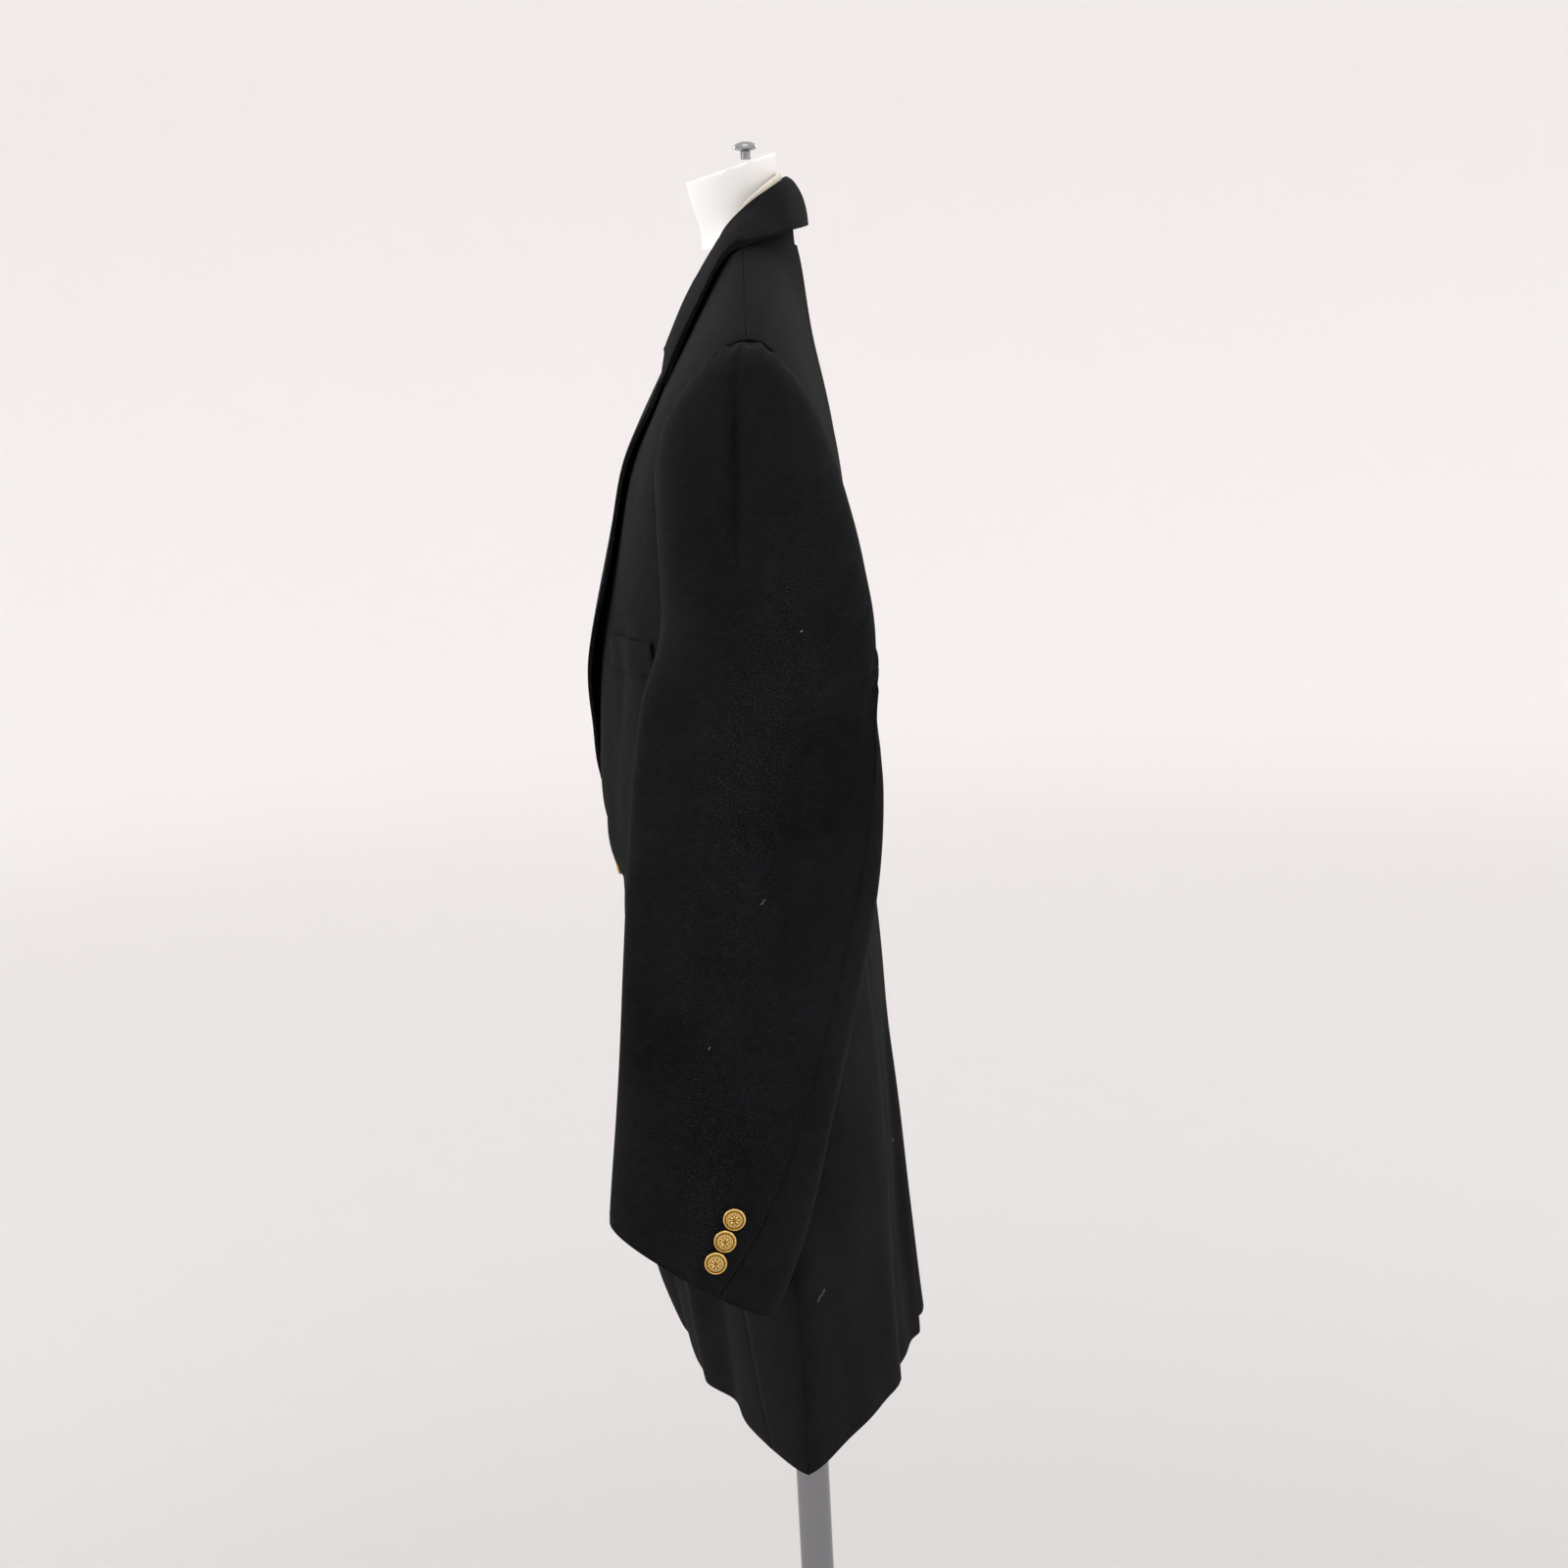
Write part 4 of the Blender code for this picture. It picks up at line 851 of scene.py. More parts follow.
def merged(mesh):
    """A mesh's form, with the corners that its loose triangles share merged."""
    form = bmesh.new()
    form.from_mesh(mesh)
    bmesh.ops.remove_doubles(form, verts=form.verts, dist=MERGE)
    return form


def sharp_edges(form, angle):
    return [edge for edge in form.edges if len(edge.link_faces) == 2
            and edge.calc_face_angle() > math.radians(angle)]


def refined(name, node, levels, crease, crease_angle=SHARP, grow=None):
    """A finer copy of a CAD node: merged, its triangles paired, and smoothly subdivided. The thin
    walls round its edge grow outward a little, so that neighbours meet at their seams."""
    mesh = NODES[node].data.copy()
    mesh.materials.clear()
    form = merged(mesh)
    bmesh.ops.join_triangles(form, faces=form.faces, angle_face_threshold=PAIR_FOLD,
                             angle_shape_threshold=PAIR_SKEW)
    layer = form.edges.layers.float.get("crease_edge")
    layer = layer or form.edges.layers.float.new("crease_edge")
    sharp = sharp_edges(form, crease_angle)
    for edge in sharp:
        edge[layer] = crease
    if grow:
        grow_rim(form, sharp, grow)
    form.to_mesh(mesh)
    form.free()
    thing = link(name, mesh)
    subdivide(thing, levels)
    evaluated(thing)
    thing.data.shade_smooth()
    thing.data.set_sharp_from_angle(angle=math.radians(crease_angle))
    return thing


def grow_rim(form, sharp, grow):
    """Moves the walls between a cloth's faces outward, by a distance that their height sets."""
    marked = set(sharp)
    walls = [face for face in form.faces if sum(edge in marked for edge in face.edges) >= 2
             and face.calc_area() < THIN * face.calc_perimeter()]
    moves = {}
    for face in walls:
        for vert in face.verts:
            moves.setdefault(vert, []).append(face.normal.copy())
    for vert, facings in moves.items():
        total = sum(facings, Vector())
        if total.length > CANCELLED:
            vert.co += total.normalized() * grow(vert.co.z)


def rim_distance(node, co):
    """How far each point lies from the rim of a CAD node."""
    form = merged(NODES[node].data)
    spots = []
    for edge in sharp_edges(form, SHARP):
        a, b = (vert.co for vert in edge.verts)
        count = max(int((b - a).length / RIM_STEP), 1)
        spots += [a.lerp(b, k / count) for k in range(count + 1)]
    form.free()
    tree = KDTree(len(spots))
    for k, spot in enumerate(spots):
        tree.insert(spot, k)
    tree.balance()
    return np.array([tree.find(Vector(p))[2] for p in co])


def points_of(mesh):
    co = np.empty(len(mesh.vertices) * 3)
    mesh.vertices.foreach_get("co", co)
    return co.reshape(-1, 3)


def lay_threads(mesh, across):
    """A UV map in metres: one value round the piece, the other its height."""
    co = points_of(mesh)
    u = across(co)
    corner = np.empty(len(mesh.loops), dtype=np.int64)
    mesh.loops.foreach_get("vertex_index", corner)
    layer = mesh.uv_layers.get("threads") or mesh.uv_layers.new(name="threads")
    layer.data.foreach_set("uv", np.stack([u[corner], co[corner, 2]], axis=1).ravel())


def line_inside(mesh, outward, lining):
    """Gives the faces that look inward the lining's finish."""
    mesh.materials.append(lining)
    count = len(mesh.polygons)
    normal = np.empty(count * 3)
    centre = np.empty(count * 3)
    mesh.polygons.foreach_get("normal", normal)
    mesh.polygons.foreach_get("center", centre)
    facing = (normal.reshape(-1, 3) * outward(centre.reshape(-1, 3))).sum(axis=1)
    mesh.polygons.foreach_set("material_index", (facing < INNER).astype(np.int32))


# The cut of each piece before sewing, in metres, and its area in square metres
Cut = namedtuple("Cut", "width length area")


def cloth(node, field, across, outward=None, levels=3, sink=RIM_SINK, grow=body_growth):
    """A shell of wool in place of a CAD node, lined where outward is given."""
    thing = refined(f"{node}_cloth", node, levels, crease=1.0, grow=grow)
    mesh = thing.data
    co = points_of(mesh)
    facing = outward or body_outward
    away = rim_distance(node, co)
    pressed = (sink * np.exp(-(away / RIM_REACH) ** 2))[:, None] * facing(co)
    mesh.vertices.foreach_set("co", (co + field(co, away) - pressed).ravel())
    mesh.update()
    lay_threads(mesh, across)
    mesh.materials.append(bpy.data.materials["worsted_wool_twill"])
    if outward:
        line_inside(mesh, outward, bpy.data.materials["viscose_satin_lining"])
    keep(thing, node)
    return thing


# Repeats

# A stitch varies between these shares of its thickness, twice, and of its length
THINNEST = (0.9, 0.9, 0.85)
THICKEST = (1.1, 1.1, 1.0)
# A rope's beads lie aslant by this share outward to along, and are longer than thick by this
BEAD_SLANT = 0.7
BEAD_LENGTH = 1.9


def open_tree(name, sockets):
    """A geometry tree with named inputs."""
    tree = bpy.data.node_groups.new(name, "GeometryNodeTree")
    for label, kind in sockets:
        tree.interface.new_socket(label, in_out="INPUT", socket_type=kind)
    tree.interface.new_socket("Geometry", in_out="OUTPUT", socket_type="NodeSocketGeometry")
    return tree, add(tree, "NodeGroupInput")


def close_tree(tree, given, instances):
    """Ends a tree: instances made real, smooth, with their material."""
    real = add(tree, "GeometryNodeRealizeInstances", links={"Geometry": instances})
    smooth = add(tree, "GeometryNodeSetShadeSmooth", links={"Geometry": real.outputs["Geometry"]})
    painted = add(tree, "GeometryNodeSetMaterial",
                  links={"Geometry": smooth.outputs["Geometry"],
                         "Material": given.outputs["Material"]})
    add(tree, "NodeGroupOutput", links={"Geometry": painted.outputs["Geometry"]})
    return tree


def stitch_tree():
    """A row of stitches along a path of edges."""
    tree, given = open_tree("stitch_row", (
        ("Path", "NodeSocketGeometry"), ("Pitch", "NodeSocketFloat"),
        ("Length", "NodeSocketFloat"), ("Thickness", "NodeSocketFloat"),
        ("Seed", "NodeSocketInt"), ("Material", "NodeSocketMaterial")))
    path = add(tree, "GeometryNodeMeshToCurve", links={"Mesh": given.outputs["Path"]})
    points = add(tree, "GeometryNodeCurveToPoints", mode="LENGTH",
                 links={"Curve": path.outputs["Curve"], "Length": given.outputs["Pitch"]})
    stitch = add(tree, "GeometryNodeMeshUVSphere", {"Segments": 6, "Rings": 4, "Radius": 0.5})
    turn = add(tree, "FunctionNodeAlignRotationToVector", axis="Z",
               links={"Vector": points.outputs["Tangent"]})
    size = add(tree, "ShaderNodeCombineXYZ",
               links={"X": given.outputs["Thickness"], "Y": given.outputs["Thickness"],
                      "Z": given.outputs["Length"]})
    uneven = add(tree, "FunctionNodeRandomValue", {"Min": THINNEST, "Max": THICKEST},
                 data_type="FLOAT_VECTOR", links={"Seed": given.outputs["Seed"]})
    scaled = add(tree, "ShaderNodeVectorMath", operation="MULTIPLY",
                 links={0: size.outputs["Vector"], 1: uneven.outputs["Value"]})
    row = add(tree, "GeometryNodeInstanceOnPoints",
              links={"Points": points.outputs["Points"], "Instance": stitch.outputs["Mesh"],
                     "Rotation": turn.outputs["Rotation"], "Scale": scaled.outputs["Vector"]})
    return close_tree(tree, given, row.outputs["Instances"])


def rim_tree():
    """A ring of slanting beads, as on a roped rim. It needs no path, but a modifier gives one."""
    tree, given = open_tree("roped_rim", (
        ("Path", "NodeSocketGeometry"), ("Beads", "NodeSocketInt"),
        ("Radius", "NodeSocketFloat"), ("Bead", "NodeSocketFloat"),
        ("Material", "NodeSocketMaterial")))
    ring = add(tree, "GeometryNodeMeshCircle",
               links={"Vertices": given.outputs["Beads"], "Radius": given.outputs["Radius"]})
    bead = add(tree, "GeometryNodeMeshUVSphere", {"Segments": 8, "Rings": 5, "Radius": 0.5})
    place = add(tree, "GeometryNodeInputPosition")
    tangent = add(tree, "ShaderNodeVectorMath", {1: (0, 0, 1)}, operation="CROSS_PRODUCT",
                  links={0: place.outputs["Position"]})
    forward = add(tree, "ShaderNodeVectorMath", operation="NORMALIZE",
                  links={0: tangent.outputs["Vector"]})
    outward = add(tree, "ShaderNodeVectorMath", operation="NORMALIZE",
                  links={0: place.outputs["Position"]})
    slant = add(tree, "ShaderNodeVectorMath", {"Scale": BEAD_SLANT}, operation="SCALE",
                links={0: outward.outputs["Vector"]})
    lie = add(tree, "ShaderNodeVectorMath", operation="ADD",
              links={0: forward.outputs["Vector"], 1: slant.outputs["Vector"]})
    turn = add(tree, "FunctionNodeAlignRotationToVector", axis="Z",
               links={"Vector": lie.outputs["Vector"]})
    longer = add(tree, "ShaderNodeMath", {1: BEAD_LENGTH}, operation="MULTIPLY",
                 links={0: given.outputs["Bead"]})
    size = add(tree, "ShaderNodeCombineXYZ",
               links={"X": given.outputs["Bead"], "Y": given.outputs["Bead"],
                      "Z": longer.outputs["Value"]})
    beads = add(tree, "GeometryNodeInstanceOnPoints",
                links={"Points": ring.outputs["Mesh"], "Instance": bead.outputs["Mesh"],
                       "Rotation": turn.outputs["Rotation"], "Scale": size.outputs["Vector"]})
    return close_tree(tree, given, beads.outputs["Instances"])


def grown(name, mesh, tree, values):
    """Runs a geometry tree on a mesh and keeps the result as a plain mesh."""
    thing = link(name, mesh)
    pattern = thing.modifiers.new("Pattern", "NODES")
    pattern.node_group = tree
    for socket in tree.interface.items_tree:
        if socket.in_out == "INPUT" and socket.name in values:
            pattern[socket.identifier] = values[socket.name]
    return evaluated(thing)


def path_mesh(name, lines):
    """A mesh of edges through lines of points."""
    mesh = bpy.data.meshes.new(name)
    points = []
    edges = []
    for line in lines:
        first = len(points)
        points += [tuple(p) for p in line]
        edges += [(first + k, first + k + 1) for k in range(len(line) - 1)]
    mesh.from_pydata(points, edges, [])
    return mesh


class ClothSurface:
    """Finds places on the outer face of a finished piece of cloth."""

    def __init__(self, piece):
        graph = bpy.context.evaluated_depsgraph_get()
        self.tree = BVHTree.FromObject(bpy.data.objects[piece], graph)

    def seat(self, start, toward, lift):
        """Where a line from outside meets the cloth, lifted off it by a small distance."""
        place, normal, _, _ = self.tree.ray_cast(Vector(start), Vector(toward))
        if place is None:
            raise RuntimeError("a line misses the cloth")
        return place + normal * lift


# Operators


class BLAZER_OT_materials(bpy.types.Operator):
    """Makes every finish."""
    bl_idname = "blazer.materials"
    bl_label = "Finishes"

    def execute(self, context):
        scene = context.scene
        worsted_twill(scene.blazer_wool)
        satin_lining(scene.blazer_wool)
        gilt_brass(scene.blazer_buttons)
        sewing_thread(scene.blazer_stitches)
        lint_fibre()
        moulded_shell(scene.blazer_form)
        cotton_cover(scene.blazer_form)
        plated_steel(scene.blazer_form)
        pale_board(scene.blazer_stage)
        return {"FINISHED"}


class BLAZER_OT_body(bpy.types.Operator):
    """Makes the fronts, side panels and backs as lined cloth."""
    bl_idname = "blazer.body"
    bl_label = "Body"

    def execute(self, context):
        for side in SIDES:
            for name, levels, held, rests_on in (
                    ("front", 3, "draped", ["form_torso"]),
                    ("back", 3, "draped", ["form_torso"]),
                    ("side_panel", 2, "hung", [f"front_{side}", f"back_{side}"])):
                piece = cloth(f"{name}_{side}", body_field, body_across, body_outward, levels)
        return {"FINISHED"}


class BLAZER_OT_collar(bpy.types.Operator):
    """Makes the lapels and the collar."""
    bl_idname = "blazer.collar"
    bl_label = "Lapels and collar"

    def execute(self, context):
        for side, field in (("left", left_lapel_field), ("right", body_field)):
            piece = cloth(f"lapel_{side}", field, body_across)
        piece = cloth("collar", collar_field, level_across, grow=collar_growth)
        return {"FINISHED"}


class BLAZER_OT_sleeves(bpy.types.Operator):
    """Makes the sleeves, lined, with puckers at their heads."""
    bl_idname = "blazer.sleeves"
    bl_label = "Sleeves"

    def execute(self, context):
        for side in SIDES:
            for name, rests_on in (("upper_sleeve", [f"front_{side}", f"back_{side}"]),
                                   ("under_sleeve", [f"side_panel_{side}"])):
                field = sleeve_field(side, under=name == "under_sleeve")
                piece = cloth(f"{name}_{side}", field, sleeve_across(side),
                              sleeve_outward(side), grow=sleeve_growth)
        return {"FINISHED"}


class BLAZER_OT_pockets(bpy.types.Operator):
    """Makes the breast welt and the hip flaps."""
    bl_idname = "blazer.pockets"
    bl_label = "Pockets"

    def execute(self, context):
        piece = cloth("breast_welt", welt_field, body_across, sink=WELT_SINK)
        for side in SIDES:
            piece = cloth(f"hip_flap_{side}", body_field, body_across, sink=0.0)
        return {"FINISHED"}


# A button's face, from the middle out: share of its radius, share of its height, and how much of
# the rosette's relief and of the fine upright lines shows there, and how bright a plain place is
# Plain places by the roped rim are dark, as toning and painted shade, and the underside is darker,
# as painted shade
Ring = namedtuple("Ring", "out rise petal line tone")
BUTTON_FACE = (
    Ring(0.00, 0.99, 0.0, 0.0, 0.8),
    Ring(0.06, 0.99, 0.1, 0.0, 0.75),
    Ring(0.12, 0.97, 0.5, 0.0, 0.75),
    Ring(0.20, 0.95, 1.0, 0.0, 0.75),
    Ring(0.30, 0.94, 1.0, 0.0, 0.75),
    Ring(0.38, 0.92, 0.8, 0.1, 0.75),
    Ring(0.44, 0.90, 0.2, 0.5, 0.1),
    Ring(0.52, 0.88, 0.0, 1.0, 0.75),
    Ring(0.60, 0.86, 0.0, 1.0, 0.75),
    Ring(0.68, 0.84, 0.0, 1.0, 0.75),
    Ring(0.74, 0.82, 0.0, 0.4, 0.1),
    Ring(0.78, 0.84, 0.0, 0.0, 0.1),
    Ring(0.82, 0.80, 0.0, 0.0, 0.25),
    Ring(0.90, 0.76, 0.0, 0.0, 0.75),
    Ring(0.96, 0.76, 0.0, 0.0, 0.75),
    Ring(1.00, 0.68, 0.0, 0.0, 0.75),
    Ring(0.99, 0.56, 0.0, 0.0, 0.75),
    Ring(0.90, 0.46, 0.0, 0.0, 0.3),
    Ring(0.55, 0.38, 0.0, 0.0, 0.3),
    Ring(0.38, 0.34, 0.0, 0.0, 0.3),
    Ring(0.35, 0.00, 0.0, 0.0, 0.3),
)
# The relief's rise, as shares of a button's height, and how far the whole face is lowered to make
# room for it, as a share of the petals' rise
PETAL_RISE = 0.14
LINE_RISE = 0.07
FACE_SINK = 0.4
# How bright the lowest places are, dark as toning and painted shade, and the tops of the lines
LOW_TONE_AND_SHADE = 0.05
LINE_TONE = 0.9
BUTTON_SIDES = 64
LINES_ACROSS = 15
# The roped rim's ring and beads, as shares of the button's radius, its level, as a share of the
# height, and how bright it is
ROPE_RADIUS = 0.92
ROPE_BEAD = 0.085
ROPE_LEVEL = 0.77
ROPE_TONE = 0.9


def button_face(name, radius, height, petals):
    """A stamped button standing on its shank along +Z, with its relief as an attribute."""
    form = bmesh.new()
    relief = form.verts.layers.float.new("relief")
    rings = []
    for ring in BUTTON_FACE:
        row = []
        for k in range(BUTTON_SIDES):
            turn = 2 * math.pi * k / BUTTON_SIDES
            bloom = 0.5 + 0.5 * math.cos(petals * turn)
            upright = 0.5 + 0.5 * math.cos(math.pi * LINES_ACROSS * ring.out * math.cos(turn))
            raised = PETAL_RISE * ring.petal * bloom + LINE_RISE * ring.line * upright
            out = ring.out * radius
            vert = form.verts.new((out * math.cos(turn), out * math.sin(turn),
                                   (ring.rise - PETAL_RISE * FACE_SINK + raised) * height))
            # Raised relief is bright gilt, and low relief is dark, as toning and as painted shade
            toned_and_shaded = max(ring.petal * bloom, LINE_TONE * ring.line * upright)
            toned_and_shaded = LOW_TONE_AND_SHADE + (1 - LOW_TONE_AND_SHADE) * toned_and_shaded
            plain = ring.petal == 0 and ring.line == 0
            vert[relief] = ring.tone if plain else toned_and_shaded
            row.append(vert)
            if ring.out == 0:
                break
        rings.append(row)
    for upper, lower in zip(rings, rings[1:]):
        for k in range(BUTTON_SIDES):
            after = (k + 1) % BUTTON_SIDES
            if len(upper) == 1:
                form.faces.new((upper[0], lower[k], lower[after]))
            else:
                form.faces.new((upper[k], lower[k], lower[after], upper[after]))
    form.faces.new(list(reversed(rings[-1])))
    return facing_out(form, bpy.data.meshes.new(name))


def button_stand(node):
    """Foot, facing, radius and height of a CAD button, from its own points."""
    co = points_of(NODES[node].data)
    centre = (co.min(axis=0) + co.max(axis=0)) / 2
    _, _, axes = np.linalg.svd(co - co.mean(axis=0), full_matrices=False)
    facing = axes[2]
    outward = np.array([0.0, -1.0, 0.0])
    if node.startswith("cuff"):
        outward = np.array([math.copysign(1.0, centre[0]), 0.0, 0.0])
    if facing @ outward < 0:
        facing = -facing
    rise = (co - centre) @ facing
    level = co - centre - rise[:, None] * facing
    radius = np.linalg.norm(level, axis=1).max()
    foot = centre + level[rise < rise.min() + MERGE].mean(axis=0) + rise.min() * facing
    return foot, facing, radius, rise.max() - rise.min()


def add_rope(mesh, rope):
    """Joins a roped rim to a button's mesh."""
    joined = bmesh.new()
    joined.from_mesh(mesh)
    relief = joined.verts.layers.float["relief"]
    first = len(joined.verts)
    joined.from_mesh(rope)
    joined.verts.ensure_lookup_table()
    for vert in joined.verts[first:]:
        vert[relief] = ROPE_TONE
    joined.to_mesh(mesh)
    joined.free()


class BLAZER_OT_buttons(bpy.types.Operator):
    """Makes the stamped gilt buttons, with roped rims."""
    bl_idname = "blazer.buttons"
    bl_label = "Buttons"

    def execute(self, context):
        settings = context.scene.blazer_buttons
        gilt = bpy.data.materials["stamped_gilt_brass"]
        tree = rim_tree()
        for name in ("front_button_upper", "front_button_lower"):
            self.button(name, settings, gilt, tree, body_field)
        for side in SIDES:
            for k in (1, 2, 3):
                self.button(f"cuff_button_{side}_{k}", settings, gilt, tree,
                            lambda co, away, side=side: sleeve_folds(co, side, away))
        return {"FINISHED"}

    def button(self, name, settings, gilt, tree, field):
        """One button, moved as its foot's place on the cloth is."""
        foot, facing, radius, height = button_stand(name)
        rope = grown(f"{name}_rim", bpy.data.meshes.new("rim"), tree,
                     {"Beads": settings.beads, "Radius": radius * ROPE_RADIUS,
                      "Bead": radius * ROPE_BEAD, "Material": gilt})
        rope.data.transform(Matrix.Translation((0, 0, height * ROPE_LEVEL)))
        mesh = button_face(f"{name}_gilt", radius, height, settings.petals)
        add_rope(mesh, rope.data)
        bpy.data.objects.remove(rope)
        shift = field(foot[None, :], np.ones(1))[0]
        turn = Vector(facing).to_track_quat("Z", "Y").to_matrix().to_4x4()
        mesh.transform(Matrix.Translation(foot + shift) @ turn)
        mesh.materials.clear()
        mesh.materials.append(gilt)
        mesh.shade_smooth()
        keep(link(f"{name}_gilt", mesh), name)


# Where the stitches run, as places across and heights: round a flap, at the welt's ends, and along
# the buttonholes, above and below each one's slit
FLAP_SEAM = ((0.0835, 0.862), (0.0835, 0.8155), (0.1685, 0.8100), (0.1685, 0.858))
WELT_SEAMS = (((0.1205, 1.147), (0.1205, 1.162)), ((0.1935, 1.153), (0.1935, 1.1675)))
HOLE_HEIGHTS = (0.982, 0.888)
HOLE_ENDS = (-0.0145, -0.0112)
HOLE_LIFT = 0.0011
HOLE_STEPS = 4
# Buttonhole stitches lie close and are long, in threads' thicknesses
HOLE_PITCH = 1.15
HOLE_LENGTH = 3.6
RUN_STEPS = 14
# A stitch's middle stands this share of the thread's thickness above the cloth
SEAT = 0.1
SEED = 5


class BLAZER_OT_stitches(bpy.types.Operator):
    """Makes the stitches that show: flap and welt edges, and buttonholes."""
    bl_idname = "blazer.stitches"
    bl_label = "Stitches"

    def execute(self, context):
        settings = context.scene.blazer_stitches
        tree = stitch_tree()
        thread = settings.thread
        values = {"Pitch": settings.pitch, "Length": settings.length, "Thickness": thread,
                  "Seed": SEED, "Material": bpy.data.materials["spun_polyester_thread"]}
        for side in SIDES:
            flap = ClothSurface(f"hip_flap_{side}_cloth")
            line = self.run(flap, FLAP_SEAM, SIGN[side], thread)
            self.row(f"hip_flap_{side}_stitches", [line], tree, values)
        welt = ClothSurface("breast_welt_cloth")
        lines = [self.run(welt, seam, 1, thread) for seam in WELT_SEAMS]
        self.row("breast_welt_stitches", lines, tree, values)
        front = ClothSurface("front_left_cloth")
        close = dict(values, Pitch=thread * HOLE_PITCH, Length=thread * HOLE_LENGTH)
        holes = [[front.seat((x, -1, z + lift), (0, 1, 0), thread * SEAT)
                  for x in np.linspace(*HOLE_ENDS, HOLE_STEPS)]
                 for z in HOLE_HEIGHTS for lift in (-HOLE_LIFT, HOLE_LIFT)]
        self.row("buttonhole_stitches", holes, tree, close)
        return {"FINISHED"}

    def run(self, surface, corners, sign, thread):
        """Points along straight runs between corners, seated on the cloth from the front."""
        line = []
        for (x0, z0), (x1, z1) in zip(corners, corners[1:]):
            for share in np.linspace(0, 1, RUN_STEPS):
                start = (sign * (x0 + (x1 - x0) * share), -1, z0 + (z1 - z0) * share)
                line.append(surface.seat(start, (0, 1, 0), thread * SEAT))
        return line

    def row(self, name, lines, tree, values):
        keep(grown(name, path_mesh(name, lines), tree, values))


# Lint on the cloth: piece, the way that it is seen, place across, height and length
Lint = namedtuple("Lint", "piece toward across z length")
LINT = (
    Lint("upper_sleeve_left_cloth", (-1, 0, 0), -0.012, 1.025, 0.0034),
    Lint("upper_sleeve_left_cloth", (-1, 0, 0), -0.050, 0.935, 0.0026),
    Lint("upper_sleeve_left_cloth", (-1, 0, 0), 0.020, 1.190, 0.0022),
    Lint("side_panel_left_cloth", (-1, 0, 0), 0.012, 0.742, 0.0050),
    Lint("back_right_cloth", (0, -1, 0), -0.085, 1.120, 0.0045),
    Lint("back_left_cloth", (0, -1, 0), 0.060, 0.780, 0.0040),
    Lint("front_right_cloth", (0, 1, 0), -0.120, 0.760, 0.0040),
)
LINT_THICKNESS = 0.00016
LINT_STEPS = 6
LINT_CURL = 0.0006
# A fibre's middle stands this share of its thickness above the cloth
LINT_SEAT = 0.6
# Each fibre lies turned from the one before, and rises by a turn that is this much ahead
LINT_AHEAD = 1.2


class BLAZER_OT_lint(bpy.types.Operator):
    """Makes the few pale fibres caught on the cloth."""
    bl_idname = "blazer.lint"
    bl_label = "Lint"

    def execute(self, context):
        form = bmesh.new()
        for k, speck in enumerate(LINT):
            toward = Vector(speck.toward)
            spine = self.spine(speck, toward, math.cos(k), math.sin(k + LINT_AHEAD))
            rows = []
            for a, b in zip(spine, spine[1:] + [spine[-1] * 2 - spine[-2]]):
                side = (b - a).cross(toward).normalized() * LINT_THICKNESS
                rise = toward * -LINT_THICKNESS
                rows.append([form.verts.new(a + p) for p in (side, rise, -side, -rise)])
            for low, high in zip(rows, rows[1:]):
                for j in range(4):
                    form.faces.new((low[j], low[(j + 1) % 4], high[(j + 1) % 4], high[j]))
            form.faces.new(reversed(rows[0]))
            form.faces.new(rows[-1])
        mesh = facing_out(form, bpy.data.meshes.new("lint"))
        mesh.materials.append(bpy.data.materials["cotton_lint"])
        keep(link("lint", mesh))
        return {"FINISHED"}

    def spine(self, speck, toward, along_cloth, upward):
        """Points along one curled fibre, seated on its cloth."""
        surface = ClothSurface(speck.piece)
        points = []
        for step in range(LINT_STEPS + 1):
            share = step / LINT_STEPS - 0.5
            across = speck.across + share * speck.length * along_cloth
            z = speck.z + share * speck.length * upward
            z += LINT_CURL * math.sin(3 * math.pi * share)
            start = (-toward.x, across, z) if toward.x else (across, -toward.y, z)
            points.append(surface.seat(start, toward, LINT_THICKNESS * LINT_SEAT))
        return points


# The cotton cover's upper edge inside the collar, from the chest round to the nape
Edge = namedtuple("Edge", "x y z")
COVER_EDGE = (
    Edge(0.0495, -0.0480, 1.366),
    Edge(0.0535, -0.0400, 1.386),
    Edge(0.0555, -0.0240, 1.4135),
    Edge(0.0562, -0.0120, 1.4325),
    Edge(0.0556, 0.0000, 1.4470),
    Edge(0.0490, 0.0140, 1.4575),
    Edge(0.0290, 0.0212, 1.4625),
    Edge(0.0000, 0.0232, 1.4640),
)
COVER_STEPS = 29
COVER_ROWS = 6
COVER_DEPTH = 0.018
COVER_CLOTH = 0.0008
# Below its edge the cover widens by this share, and goes back by this much, for each metre down
COVER_FLARE = 1.5
COVER_SLOPE = 0.1


